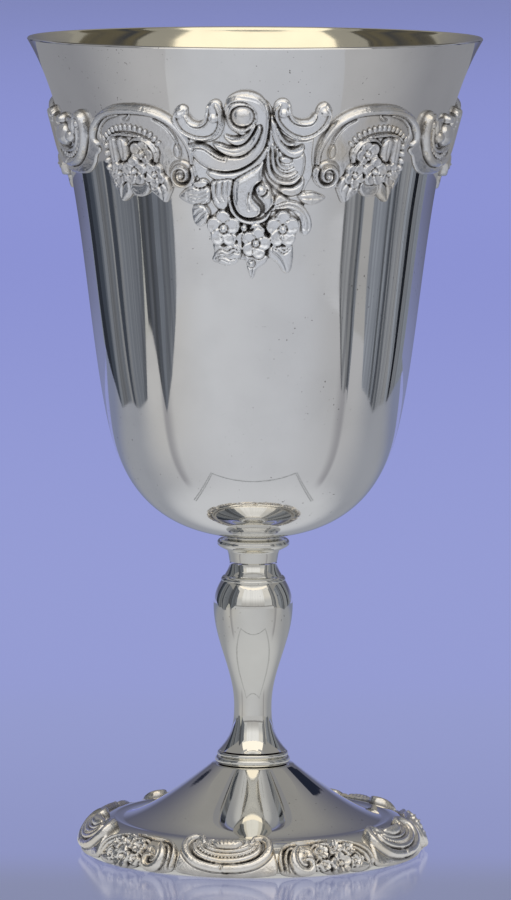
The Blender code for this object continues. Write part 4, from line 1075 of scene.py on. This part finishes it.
def draw_bowl_shell(relief):
    """A rolled shell with a volute on its left, a beaded arch and a mouth for a spray."""
    relief.slab([(-12.8, 144.5), (-13.0, 148), (-11.6, 152), (-8.6, 155.2), (-4.5, 157.2), (0, 157.7),
                 (5, 157.3), (9, 155.8), (12, 153.2), (13.1, 150.8), (12.2, 149.4), (9.8, 148.6),
                 (9.6, 146), (9.6, 143), (8.0, 140.4), (5.6, 139.8), (2, 140.6), (-2, 140.4), (-5.0, 139.8),
                 (-7.4, 141.2), (-10, 141.2), (-12.2, 142.2)], 0.8, 0.6)
    relief.stroke([(-12.5, 146.6, 0.5, 1.6), (-12.3, 149.2, 0.6, 1.8), (-11.0, 152.0, 0.7, 1.9),
                   (-8.9, 154.6, 0.8, 2.0), (-6.0, 156.3, 0.85, 2.1), (-2.8, 157.0, 0.9, 2.1),
                   (1.0, 157.1, 0.95, 2.1), (5.0, 156.7, 0.95, 2.0), (8.2, 155.6, 0.95, 2.0),
                   (10.8, 153.8, 0.9, 1.9), (12.3, 151.7, 0.8, 1.8), (12.4, 150.3, 0.7, 1.7),
                   (11.4, 149.6, 0.5, 1.5)])
    relief.line([(-9.6, 150.2), (-9.1, 151.6), (-8.1, 153.1), (-6.6, 154.5), (-4.8, 155.3)], 0.32, 1.3)
    relief.line([(4.0, 155.8), (7.0, 155.0), (9.3, 153.4), (10.2, 151.7), (9.6, 150.6)], 0.32, 1.2)
    relief.line([(0.8, 156.0), (1.5, 155.2), (2.7, 154.9)], 0.32, 1.3)
    relief.slab([(-9.7, 150.3), (-10.3, 148.8), (-9.8, 147.4), (-8.9, 147.8), (-8.7, 149.2), (-9.1, 150.2)],
                1.4, 0.5)
    relief.ball(-10.2, 144.1, 2.95, 1.5)
    spiral = []
    for step in range(SPIRAL_STEPS + 1):
        share = step / SPIRAL_STEPS
        angle = radians(150 + 560 * share)
        reach = 2.75 - 2.05 * share
        spiral.append((-10.15 + reach * cos(angle), 144.1 + reach * sin(angle), 0.56 - 0.12 * share,
                       1.9 + 0.5 * share))
    relief.stroke(spiral)
    relief.ball(-10.15, 144.0, 0.75, 2.6, 0.5)
    relief.string([(-5.4, 150.4), (-3.4, 152.3), (1.2, 153.5), (5.6, 152.9), (8.7, 151.0)],
                  14, 0.50, 0.70, 1.05)
    relief.line([(-4.6, 146.8), (-4.9, 148.6), (-3.8, 150.3), (-1.9, 151.3), (1.2, 151.9), (4.6, 151.9),
                 (6.7, 151.3), (8.0, 150.3)], 0.42, 1.6)


def draw_shell_spray(relief):
    """The blossoms and leaves in the mouth of a bowl shell."""
    relief.slab([(-6.9, 143.4), (-7.6, 141.4), (-6.8, 139.6), (-5.9, 138.2), (-4.9, 138.6), (-3.9, 139.4),
                 (-2.4, 140.6), (-2.6, 143.0), (-4.6, 144.4)], 1.5, 0.7)
    relief.slab([(7.0, 143.6), (7.6, 141.6), (6.7, 139.8), (5.8, 138.0), (4.8, 138.4), (3.8, 139.0),
                 (2.6, 140.6), (3.0, 143.0), (4.8, 144.4)], 1.5, 0.7)
    for hand in (-1, 1):
        relief.cut([(hand * 4.2, 142.6), (hand * 5.2, 140.6), (hand * 5.4, 138.8)], 0.3, 0.6)
        relief.cut([(hand * 5.2, 142.8), (hand * 6.5, 141.4), (hand * 6.6, 140.2)], 0.25, 0.45)
    relief.slab([(-2.2, 141.8), (-1.2, 139.8), (0.4, 139.2), (2.2, 139.6), (2.9, 141.2), (2.0, 142.8),
                 (-0.6, 143.2)], 1.5, 0.7, section=dished)
    relief.slab([(2.4, 150.8), (2.0, 148.8), (2.3, 146.8), (3.8, 146.4), (4.6, 148.4), (4.8, 150.8),
                 (3.7, 151.6)], 2.0, 0.8)
    relief.slab([(5.3, 151.0), (5.1, 148.6), (5.3, 145.9), (6.6, 145.3), (7.4, 147.4), (7.3, 150.6),
                 (6.3, 151.4)], 1.7, 0.7)
    relief.cut([(3.4, 150.8), (3.2, 148.6), (3.4, 147.0)], 0.22, 0.4)
    relief.cut([(6.3, 150.8), (6.2, 148.2), (6.1, 146.2)], 0.22, 0.4)
    blossom(relief, -1.2, 148.2, 3.0, 1.9, 110)
    blossom(relief, -3.7, 143.9, 2.7, 1.8, 130)
    blossom(relief, 5.3, 143.9, 2.6, 1.9, 60)
    blossom(relief, 0.9, 144.6, 3.1, 2.3, 90)
    relief.line([(-4.6, 146.6), (-4.3, 149.0), (-2.4, 150.9), (0.4, 151.0), (2.0, 149.8)],
                0.36, 1.9, groove=0.7)
    for x, z in ((8.5, 149.4), (8.8, 147.8), (8.9, 146.3), (8.7, 144.9)):
        relief.ball(x, z, 0.8, 1.6, 0.7)


# %% Draw a lunette for the bowl
def draw_bowl_lunette(relief):
    """A small arched lunette with a ball in a beaded frame, the same on both sides."""
    relief.slab([(-14.2, 148.3), (-12.6, 146.9), (-11.4, 145.2), (-9.6, 143.8), (-7.2, 143.0),
                 (-3.6, 142.7), (0, 142.6), (3.6, 142.7), (7.2, 143.0), (9.6, 143.8), (11.4, 145.2),
                 (12.6, 146.9), (14.2, 148.3), (11.4, 150.6), (10.6, 154.2), (8.4, 155.6), (6.4, 154.0),
                 (0, 154.4), (-6.4, 154.0), (-8.4, 155.6), (-10.6, 154.2), (-11.4, 150.6)], 0.6, 0.5)
    for hand in (-1, 1):
        relief.stroke([(hand * 7.4, 154.4, 0.5, 1.7), (hand * 8.7, 155.4, 0.7, 1.9),
                       (hand * 10.1, 154.6, 0.85, 2.0), (hand * 10.3, 152.4, 0.9, 2.0),
                       (hand * 9.5, 150.1, 0.9, 2.0), (hand * 7.4, 147.4, 0.9, 2.0),
                       (hand * 4.0, 145.6, 0.9, 2.0), (0, 145.0, 0.9, 2.0)])
        relief.line([(hand * 7.8, 152.6), (hand * 7.0, 150.0), (hand * 4.5, 148.1), (0, 147.4)], 0.55, 1.7)
        relief.ball(hand * 8.3, 153.5, 0.9, 2.0)
        leaf(relief, (hand * 4.4, 151.2), (hand * 6.6, 154.8), 1.1, 1.6)
    relief.string([(-8.7, 151.2), (-6.3, 148.4), (0, 146.3), (6.3, 148.4), (8.7, 151.2)],
                  15, 0.50, 0.55, 0.9)
    for x, z, radius in ((-3.4, 150.6, 1.4), (3.4, 150.6, 1.4), (0, 153.8, 1.3), (0, 150.9, 2.5)):
        relief.ball(x, z, radius, 1.5 + 0.5 * radius)


# %% Cast the bowl's border
PITCH = radians(36)
shell_relief = drawn((draw_bowl_shell, draw_shell_spray), -15, 15, 136.5, 159.5)
bowl_shell = closed_casting(shell_relief, bend_to_bowl, 0.7)
lunette_relief = drawn((draw_bowl_lunette,), -16, 16, 141, 158)
bowl_lunette = closed_casting(lunette_relief, bend_to_bowl, 0.5)
for index in range(5):
    casting_piece(f"shell_on_bowl_{index + 1}", bowl_shell, PITCH * (2 * index + 1), index >= 3,
                  f"bowl_shell_{index + 1}", shell_silver)
for index in range(1, 5):
    casting_piece(f"lunette_on_bowl_{index}", bowl_lunette, PITCH * 2 * index, False,
                  f"bowl_lunette_{index}", shell_silver)

# %% [markdown]
# ## The border of the foot
#
# The same two motifs, smaller, are bent round the edge of the foot. Here the drawings
# measure up along the rounded edge from the table.

# %% Draw a lunette for the foot
def draw_foot_lunette(relief):
    """An arched lunette, open at the top: flat bands in one another, round a fluted rise."""
    relief.slab([(-9.6, 1.2), (-7.2, 0.5), (-4, 0.25), (0, 0.2), (4, 0.25), (7.2, 0.5), (9.6, 1.2),
                 (9.6, 4.5), (9.0, 8.0), (7.6, 9.4), (5.6, 9.0), (0, 8.6), (-5.6, 9.0), (-7.6, 9.4),
                 (-9.0, 8.0), (-9.6, 4.5)], 0.8, 0.6)
    relief.slab([(-6.4, 8.6), (-6.6, 5.8), (-4.4, 3.9), (0, 3.2), (4.4, 3.9), (6.6, 5.8), (6.4, 8.6),
                 (3, 8.8), (-3, 8.8)], 1.15, 0.4)
    for hand in (-1, 1):
        relief.stroke([(hand * 4.9, 7.9, 0.5, 1.4), (hand * 5.7, 9.0, 0.75, 1.6),
                       (hand * 7.3, 9.0, 0.85, 1.7), (hand * 8.3, 7.4, 0.9, 1.8),
                       (hand * 8.0, 5.2, 0.9, 1.8), (hand * 5.9, 3.2, 0.85, 1.8),
                       (hand * 2.9, 2.3, 0.85, 1.8), (0, 2.1, 0.85, 1.8)], blunt, 0.6)
    for arch, half_width, height in ((0.0, 0.62, 1.6), (1.15, 0.46, 1.4), (2.05, 0.38, 1.35)):
        relief.line([(-6.6 + arch, 7.0), (-5.9 + 0.9 * arch, 5.3 + 0.6 * arch),
                     (-3.4 + 0.5 * arch, 4.0 + 0.9 * arch), (0, 3.55 + arch),
                     (3.4 - 0.5 * arch, 4.0 + 0.9 * arch), (5.9 - 0.9 * arch, 5.3 + 0.6 * arch),
                     (6.6 - arch, 7.0)], half_width, height, blunt, 0.5)
    relief.string([(-5.4, 6.4), (-4.4, 5.3), (0, 4.15), (4.4, 5.3), (5.4, 6.4)], 19, 0.27, 0.30, 1.15)
    relief.stroke([(-2.6, 7.7, 0.7, 1.5), (-1.4, 7.3, 1.1, 1.8), (0, 7.2, 1.2, 1.9), (1.4, 7.3, 1.1, 1.8),
                   (2.6, 7.7, 0.7, 1.5)], domed, 0.6)
    for x in (-1.9, -0.95, 0, 0.95, 1.9):
        relief.cut([(x * 1.1, 8.2), (x * 0.7, 6.5)], 0.18, 0.3)


# %% Draw a shell for the foot
def draw_foot_shell(relief):
    """A rolled shell with a scroll on its left, arcs on its right and blossoms between."""
    relief.slab([(-9.8, 1.2), (-8, 0.4), (-5.6, 0.2), (-3.9, 0.6), (-2.6, 1.5), (-1.6, 0.8), (0.2, 0.2),
                 (2.0, 0.5), (3.3, 1.2), (4.6, 0.5), (7, 0.3), (9.0, 0.7), (10.2, 1.8), (10.4, 4),
                 (9.4, 6.2), (6.5, 7.2), (3, 7.8), (-2, 7.9), (-6, 7.6), (-9, 6.6), (-10.2, 4)], 0.7, 0.6)
    relief.line([(-9.4, 1.5), (-9.8, 4.0), (-9.1, 6.2), (-6.8, 7.3), (-3, 7.6), (0.5, 7.6)], 0.42, 1.5)
    relief.line([(-8.4, 1.2), (-8.8, 3.8), (-8.1, 5.8), (-6.4, 6.6)], 0.36, 1.4)
    relief.stroke([(-6.2, 6.4, 0.5, 1.4), (-7.1, 4.9, 0.8, 1.6), (-7.1, 3.2, 0.95, 1.7),
                   (-6.2, 1.7, 1.0, 1.8), (-4.5, 1.3, 0.9, 1.8), (-3.5, 2.3, 0.8, 1.8),
                   (-3.9, 3.5, 0.6, 1.7), (-4.9, 3.6, 0.45, 1.7)], domed)
    relief.line([(-4.5, 5.1), (-4.9, 4.2)], 0.35, 1.5)
    for shift, height in ((0.0, 1.5), (1.0, 1.45), (2.0, 1.4)):
        relief.line([(1.4, 7.3 - shift), (4.2 - 0.2 * shift, 6.9 - shift),
                     (6.9 - 0.6 * shift, 5.8 - 0.8 * shift), (8.9 - shift, 4.0 - 0.4 * shift),
                     (9.5 - shift, 1.9)], 0.40, height)
    relief.line([(4.4, 4.3), (5.6, 4.3), (6.4, 3.5), (6.3, 2.6)], 0.34, 1.4)
    relief.slab([(4.0, 1.4), (5.2, 0.6), (7.4, 0.6), (8.6, 1.4), (7.6, 2.5), (5.6, 2.6)], 1.2, 0.7)
    leaf(relief, (-2.6, 3.2), (-2.6, 1.2), 0.7, 1.3)
    relief.stroke([(-2.8, 6.6, 0.35, 1.3), (-0.5, 6.7, 0.5, 1.4), (1.8, 6.5, 0.4, 1.4)])
    for x, v, radius in ((5.1, 2.6, 1.3), (-1.4, 2.4, 1.3), (4.2, 5.0, 1.5), (-1.7, 4.9, 1.6),
                         (1.4, 5.4, 1.7), (1.9, 2.4, 2.3)):
        blossom(relief, x, v, radius, 2.0, 90 + 40 * x)


# %% Cast the foot's border
FOOT_BORDER_TURN = radians(-9)
foot_lunette = closed_casting(drawn((draw_foot_lunette,), -11, 11, 0, 11), bend_to_foot, 0.4)
foot_shell = closed_casting(drawn((draw_foot_shell,), -12, 12, 0, 10), bend_to_foot, 0.4)
for index in range(5):
    turn = FOOT_BORDER_TURN + PITCH * 2 * index
    casting_piece(f"lunette_on_foot_{index + 1}", foot_lunette, turn, False,
                  f"foot_lunette_{index + 1}", foot_cast_silver)
    casting_piece(f"shell_on_foot_{index + 1}", foot_shell, turn + PITCH, index >= 3,
                  f"foot_shell_{index + 1}", foot_cast_silver)

# %% [markdown]
# ## The surroundings
#
# Polished silver shows the room more than itself, so a small studio stands round it.
# A photographer places cards and cloth in the same way, and watches them in the metal.
# Each card here glows on its front and is clear from behind. The camera doesn't see it,
# so it shows only in the metal.

# %% Cards
def glow(name, colour):
    """Even light of one colour, given off by the front of a card only."""
    material = bpy.data.materials.new(name)
    material.use_nodes = True
    tree = material.node_tree
    tree.nodes.remove(tree.nodes["Principled BSDF"])
    light = add_node(tree, "ShaderNodeEmission", Color=(*colour, 1.0))
    nothing = add_node(tree, "ShaderNodeBsdfTransparent")
    behind = tree.nodes.new("ShaderNodeNewGeometry").outputs["Backfacing"]
    mixed = add_node(tree, "ShaderNodeMixShader", _0=behind, _1=light.outputs[0], _2=nothing.outputs[0])
    tree.links.new(mixed.outputs[0], tree.nodes["Material Output"].inputs["Surface"])
    return material


def put_on_stage(name, mesh, seen):
    """Add a mesh that is not part of the goblet, seen by the camera or only in the metal."""
    item = bpy.data.objects.new(name, mesh)
    bpy.context.scene.collection.objects.link(item)
    item.visible_camera = seen


def card(name, corners, material):
    """A flat card that shows only in reflections, from its corners in millimetres."""
    mesh = bpy.data.meshes.new(name)
    places = [tuple(value * MM for value in corner) for corner in corners]
    mesh.from_pydata(places, [], [range(len(corners))])
    mesh.materials.append(material)
    put_on_stage(name, mesh, False)


# %% Glow that changes across a card
STREAK_COLOUR = (0.035, 0.04, 0.06, 1.0)


def shaded(name, colours, low, high, axis="X", streaks=0.0, fine=30.0):
    """Glow from one colour to another between two places in metres, with upright streaks."""
    material = glow(name, colours[0])
    tree = material.node_tree
    where = add_node(tree, "ShaderNodeTexCoord").outputs["Object"]
    place = add_node(tree, "ShaderNodeSeparateXYZ", Vector=where).outputs[axis]
    first, second = ((*colour, 1.0) for colour in colours)
    colour = fade(tree, place, low, high, first, second)
    if streaks:
        flat = add_node(tree, "ShaderNodeMapping", Vector=where, Scale=(fine, fine, 0.5)).outputs[0]
        dark = ramp(tree, noise(tree, flat, 1.0, 3.0, 0.6), 0.42, 0.60, 0.0, streaks)
        colour = blend(tree, dark, colour, STREAK_COLOUR)
    tree.links.new(colour, tree.nodes["Emission"].inputs["Color"])
    return material


# %% [markdown]
# ## Paper on the table
#
# The lower half of the bowl and the edge of the foot mirror the table. Pale paper lies
# there and lights them. It is brightest close to the goblet and in front, darker to
# the sides and behind, and a soft band of painted shade runs out on each side. Thin dark
# lines on it, like the edges of tiles, show as fine lines in the metal.

# %% Make the paper
PAPER_HEIGHT = 0.25
PAPER_HALF_WIDTH = 420
PAPER_FRONT = -430
PAPER_BACK = 400


def paper_sheet():
    """Pale paper round the goblet, bright in front and darker where it runs out to the sides."""
    material = glow("pale paper", (1.0, 1.0, 1.0))
    tree = material.node_tree
    where = add_node(tree, "ShaderNodeTexCoord").outputs["Object"]
    axes = add_node(tree, "ShaderNodeSeparateXYZ", Vector=where).outputs
    across, back = axes["X"], axes["Y"]
    aside = calculate(tree, "ABSOLUTE", across)
    away = calculate(tree, "MULTIPLY_ADD", back, 0.9, aside)
    near = add_node(tree, "ShaderNodeVectorMath", {"operation": "LENGTH"}, _0=where).outputs["Value"]
    front = fade(tree, across, -0.20, 0.30, (0.545, 0.56, 0.595, 1.0), (0.485, 0.50, 0.54, 1.0))
    # A soft band of painted shade in the paper's glow runs out on each side.
    angle = calculate(tree, "ARCTAN2", aside, calculate(tree, "MULTIPLY", back, -1.0))
    rising = ramp(tree, angle, 1.06, 1.21, 0.0, 0.72)
    shade_band = calculate(tree, "MULTIPLY", rising, ramp(tree, angle, 1.22, 1.28, 1.0, 0.0))
    shade_band = calculate(tree, "MULTIPLY", shade_band, ramp(tree, near, 0.07, 0.09))
    beside = fade(tree, across, -0.20, -0.05, (0.49, 0.49, 0.495, 1.0), (0.42, 0.425, 0.445, 1.0))
    behind = fade(tree, back, -0.06, 0.06, beside, (0.30, 0.315, 0.355, 1.0))
    colour = fade(tree, away, -0.10, 0.16, front, behind)
    colour = blend(tree, shade_band, colour, (0.25, 0.25, 0.275, 1.0))
    colour = fade(tree, back, 0.12, 0.30, colour, (0.20, 0.225, 0.33, 1.0))
    colour = fade(tree, near, 0.045, 0.10, (0.555, 0.57, 0.60, 1.0), colour)
    tree.links.new(colour, tree.nodes["Emission"].inputs["Color"])
    corners = [(-PAPER_HALF_WIDTH, PAPER_FRONT), (PAPER_HALF_WIDTH, PAPER_FRONT),
               (PAPER_HALF_WIDTH, PAPER_BACK), (-PAPER_HALF_WIDTH, PAPER_BACK)]
    card("paper", [(x, y, PAPER_HEIGHT) for x, y in corners], material)


paper_sheet()

# %% Lines on the paper
LINE_HEIGHT = 0.35
LINE = glow("edge of a tile", (0.24, 0.25, 0.26))
front_line = [(-60, -77), (60, -77), (60, -75.4), (-60, -75.4)]
card("tile_edge", [(x, y, LINE_HEIGHT) for x, y in front_line], LINE)
for side in (-1, 1):
    for shift in (0, 2.4):
        corners = [(59 + shift, -77), (60.1 + shift, -77), (54.1 + shift, -8), (53 + shift, -8)]
        card("tile_edge", [(side * x, y, LINE_HEIGHT) for x, y in corners[::side]], LINE)

# %% [markdown]
# ## Window, walls and ceiling
#
# Round the goblet stands a round wall of flat cards. A large soft window high in front
# lights all that faces up: the foot, the stem's shoulder and the tops of the castings.
# The side walls and the ceiling are grey, because in an evenly bright room the metal would
# show no shape. Where the photo shows an edge in the metal, something stands there: a dark
# line low in front, dark cloth beside the bowl, dark things behind, cards beside the rim.

# %% A round wall
ROOM = 400
LINE_LOW = 40
LINE_TOP = 58
SIDE_TOP = 285
WINDOW_LOW = 430
CEILING = 1050


def spot(distance, angle, height):
    """A place at an angle from the front to the right, in degrees, round the goblet."""
    return (distance * sin(radians(angle)), -distance * cos(radians(angle)), height)


def wall(name, first, last, low, high, material, pieces, distance=ROOM):
    """Part of a round wall, between two angles and two heights."""
    edges = np.linspace(first, last, pieces + 1)
    for left, right in zip(edges, edges[1:]):
        corners = ((right, low), (left, low), (left, high), (right, high))
        card(name, [spot(distance, *corner) for corner in corners], material)


# %% Window and front wall
wall("window", -58, 58, WINDOW_LOW, CEILING, glow("window", (1.15, 1.08, 0.97)), 6)
FRONT_SIDE = shaded("front side wall", ((0.52, 0.53, 0.55), (0.70, 0.69, 0.675)), 0.13, 0.26, axis="Z")
for left, right in ((-62, -34), (34, 62)):
    wall("front_side", left, right, LINE_TOP, WINDOW_LOW, FRONT_SIDE, 2)
wall("front_foot", -62, 62, 0, LINE_LOW, glow("foot of the front wall", (0.50, 0.51, 0.54)), 8)
wall("front_line", -62, 62, LINE_LOW, LINE_TOP, glow("dark line on the front wall", (0.27, 0.27, 0.28)), 8)
FRONT = shaded("front wall", ((0.46, 0.46, 0.47), (0.85, 0.86, 0.885)), 0.06, 0.24, axis="Z", streaks=0.08)
wall("front_wall", -34, 34, LINE_TOP, WINDOW_LOW, FRONT, 8)

# %% Side walls and the dark cloth beside the bowl
wall("side_wall_left", -95, -62, 0, SIDE_TOP, glow("left side wall", (0.43, 0.435, 0.42)), 2)
wall("side_wall_right", 62, 95, 0, SIDE_TOP, glow("right side wall", (0.36, 0.36, 0.365)), 2)
UPPER = glow("upper wall", (0.285, 0.285, 0.29))
SHADE_COLOUR = (0.10, 0.092, 0.075)
SHADE = shaded("dark cloth over the bowl", (SHADE_COLOUR, SHADE_COLOUR), 0.0, 1.0, streaks=0.95, fine=45.0)
for left, right in ((-135, -58), (58, 135)):
    wall("upper_wall", left, right, SIDE_TOP, CEILING, UPPER, 5)
CLOTH_DISTANCE = 100
for left, right in ((-150, -94), (98, 145)):
    wall("dark_cloth", left, right, 215, 395, SHADE, 5, CLOTH_DISTANCE)

# %% Things behind, and cards beside the rim
THING_DISTANCE = 390
THING = glow("dark thing behind", (0.014, 0.018, 0.035))
LEFT_THING = ((-147, 190), (-152, 140), (-157, 105), (-158, 115), (-156, 143), (-152, 188), (-147, 240))
RIGHT_THING = ((143, 262), (142, 300), (144, 303), (149, 232), (154, 170), (157, 140), (157, 125), (150, 185))
for name, corners in (("dark_thing_left", LEFT_THING), ("dark_thing_right", RIGHT_THING)):
    card(name, [spot(THING_DISTANCE, angle, height) for angle, height in corners], THING)
RIM_CARD_DISTANCE = 62
RIM_CARD_LOW = 136
RIM_CARD_TOP = 160
for side, bright in ((-1, 0.44), (1, 0.42)):
    material = shaded(f"card beside the rim {side}", ((bright, bright, bright * 1.03), (0.25, 0.255, 0.28)),
                      -0.051, -0.010, axis="Y")
    first, last = sorted((side * 35, side * 165))
    wall("rim_card", first, last, RIM_CARD_LOW, RIM_CARD_TOP, material, 10, RIM_CARD_DISTANCE)

# %% Back wall and ceiling
BACK_LOW = 30
BACK_MIDDLE = 110
BACK_DARK = (0.105, 0.11, 0.165)
low_back = shaded("low back wall", ((0.215, 0.24, 0.42), BACK_DARK), 0.03, 0.11, axis="Z")
wall("back_wall_low", 135, 225, BACK_LOW, BACK_MIDDLE, low_back, 5)
high_back = shaded("back wall", (BACK_DARK, (0.29, 0.29, 0.295)), 0.05, 0.58, axis="Z")
wall("back_wall", 135, 225, BACK_MIDDLE, CEILING, high_back, 5)
CEILING_HALF = 420
ceiling_corners = [(CEILING_HALF * x, CEILING_HALF * y, CEILING)
                   for x, y in ((-1, -1), (-1, 1), (1, 1), (1, -1))]
card("ceiling", ceiling_corners, glow("ceiling", (0.28, 0.28, 0.29)))

# %% [markdown]
# ## Curtains
#
# Curtains hang left and right of the goblet, and their folds draw the upright lines in
# the sides of the bowl. Near the table each fold slants to another place, as gathered
# cloth does. Each fold is a card of its own grey with faint streaks, like woven cloth.

# %% Curtains
CLOTH_TOP = 250
PLEAT = 60


def cloth(name, side, folds):
    """Hanging cloth beside the goblet, in folds of different greys.

    A fold is its edge's place along the table up where it hangs straight, the place and
    height where that edge ends below, and the fold's grey, which runs to the next edge.
    """
    for index, (near, far) in enumerate(zip(folds, folds[1:])):
        material = shaded(f"{name} {index}", (near[3], near[3]), 0.0, 1.0, streaks=0.38, fine=110.0)
        corners = [(near[0], CLOTH_TOP), (near[0], PLEAT), (near[1], near[2]), (far[1], far[2]),
                   (far[0], PLEAT), (far[0], CLOTH_TOP)]
        if side > 0:
            corners.reverse()
        for four in (corners[:2] + corners[4:], corners[1:5]):
            card(f"{name}_{index}", [(side, along, height) for along, height in four], material)


def grey(value, blue=1.25):
    """A grey that leans to blue."""
    return (value, value * (1 + 0.35 * (blue - 1)), value * blue)


# %% Hang the curtains
cloth("cloth_near_left", -200, (
    (-175, -118, 30, grey(0.17)), (-140, -104, 25, grey(0.13)), (-112, -90, 18, grey(0.16, 1.3)),
    (-95, -82, 14, grey(0.09, 1.3)), (-84, -77, 28, grey(0.06)), (-76, -70, 48, grey(0.11)),
    (-66, -64, 56, grey(0.06)), (-54, -57, 60, grey(0.1))))
cloth("cloth_left", -290, (
    (-76, -20, 3, grey(0.12)), (-54, -2, 2, grey(0.17)), (10, 22, 1, grey(0.18)),
    (32, 34, 1, grey(0.225, 1.15)), (46, 48, 3, grey(0.05, 1.5)), (72, 58, 6, grey(0.25, 1.1)),
    (80, 74, 8, grey(0.15)), (100, 98, 8, grey(0.145, 1.15)), (130, 140, 6, grey(0.19)),
    (155, 160, 5, grey(0.11, 1.4)), (172, 166, 6, grey(0.05, 1.6)), (225, 200, 18, grey(0.02, 1.6)),
    (285, 275, 32, grey(0.24, 1.35)), (420, 420, 30, grey(0.24))))
cloth("cloth_near_right", 200, (
    (-132, -92, 28, grey(0.13, 1.1)), (-124, -88, 28, grey(0.28, 1.1)), (-100, -80, 28, grey(0.2, 1.1)),
    (-84, -76, 32, grey(0.08)), (-78, -70, 32, grey(0.2)), (-72, -66, 24, grey(0.2))))
cloth("cloth_right", 290, (
    (-62, -22, 11, grey(0.26)), (-10, 5, 10, grey(0.25)), (8, 18, 9, grey(0.09)), (18, 28, 9, grey(0.23)),
    (32, 38, 6, grey(0.07, 1.3)), (44, 52, 4, grey(0.23, 1.15)), (48, 60, 2, grey(0.12)),
    (58, 74, 4, grey(0.26, 1.15)), (85, 105, 8, grey(0.27, 1.1)), (110, 135, 10, grey(0.30)),
    (125, 150, 10, grey(0.2)), (148, 160, 10, grey(0.004, 1.6)), (178, 174, 12, grey(0.19, 1.2)),
    (230, 230, 16, grey(0.225, 1.3)), (420, 420, 16, grey(0.24))))
hidden_cards = [item for item in bpy.context.scene.objects if not item.visible_camera]
print("cards hidden from the camera:", len(hidden_cards))

# %% [markdown]
# ## The table and the room
#
# The goblet stands on a plain table that runs back out of sight, bluish and a little
# glossy, with a faint mirror image of the foot. Its own colour is nearly black, and a soft
# glow gives it the even tone that it has in the photo, darker towards the back. The room
# beyond is one plain blue.

# %% Make the table and the room
TABLE_RADIUS = 30.0
ROOM_COLOUR = (0.215, 0.238, 0.500, 1.0)


def table_top():
    """A wide pale table, its colour changing softly from front to back."""
    material, tree, shader = shader_tree("pale table")
    where = add_node(tree, "ShaderNodeTexCoord").outputs["Object"]
    back = add_node(tree, "ShaderNodeSeparateXYZ", Vector=where).outputs["Y"]
    near = fade(tree, back, -0.045, 0.0, (0.192, 0.21, 0.33, 1.0), (0.212, 0.235, 0.44, 1.0))
    middle = fade(tree, back, 0.1, 1.6, near, (0.135, 0.15, 0.35, 1.0))
    far = fade(tree, back, 1.5, 5.0, middle, (0.06, 0.07, 0.125, 1.0))
    shader.inputs["Base Color"].default_value = (0.02, 0.02, 0.03, 1.0)
    shader.inputs["Roughness"].default_value = 0.12
    shader.inputs["Specular IOR Level"].default_value = 0.35
    tree.links.new(far, shader.inputs["Emission Color"])
    shader.inputs["Emission Strength"].default_value = 1.0
    shape = bmesh.new()
    bmesh.ops.create_circle(shape, cap_ends=True, segments=96, radius=TABLE_RADIUS)
    mesh = bpy.data.meshes.new("table")
    shape.to_mesh(mesh)
    shape.free()
    mesh.materials.append(material)
    put_on_stage("table", mesh, True)


table_top()
world = bpy.data.worlds.new("room")
bpy.context.scene.world = world
world.use_nodes = True
world.node_tree.nodes["Background"].inputs["Color"].default_value = ROOM_COLOUR
world.node_tree.nodes["Background"].inputs["Strength"].default_value = 1.0

# %% [markdown]
# ## The camera
#
# The rim and the foot are circles, and the photo shows them as ellipses. How flat they are
# tells how steeply the camera looked down, and how much flatter the rim is than the foot
# tells how near it was: about 1.3 metres away, looking down by six and a half degrees.

# %% Place the camera
PICTURE_HEIGHT = 900
FOCAL_PIXELS = 6128.1
LOOKS_DOWN = 6.553
ROLL = -0.2
lens = bpy.data.cameras.new("camera")
lens.sensor_width = 36.0
lens.lens = FOCAL_PIXELS * lens.sensor_width / PICTURE_HEIGHT
lens.shift_x = -0.0007
camera = bpy.data.objects.new("camera", lens)
camera.location = (0.0, -1.2666, 0.2296)
camera.rotation_euler = (radians(90 - LOOKS_DOWN), radians(ROLL), 0.0)
bpy.context.scene.collection.objects.link(camera)
bpy.context.scene.camera = camera
bpy.context.scene.view_settings.view_transform = "Standard"
print(f"focal length: {lens.lens:.1f} mm")
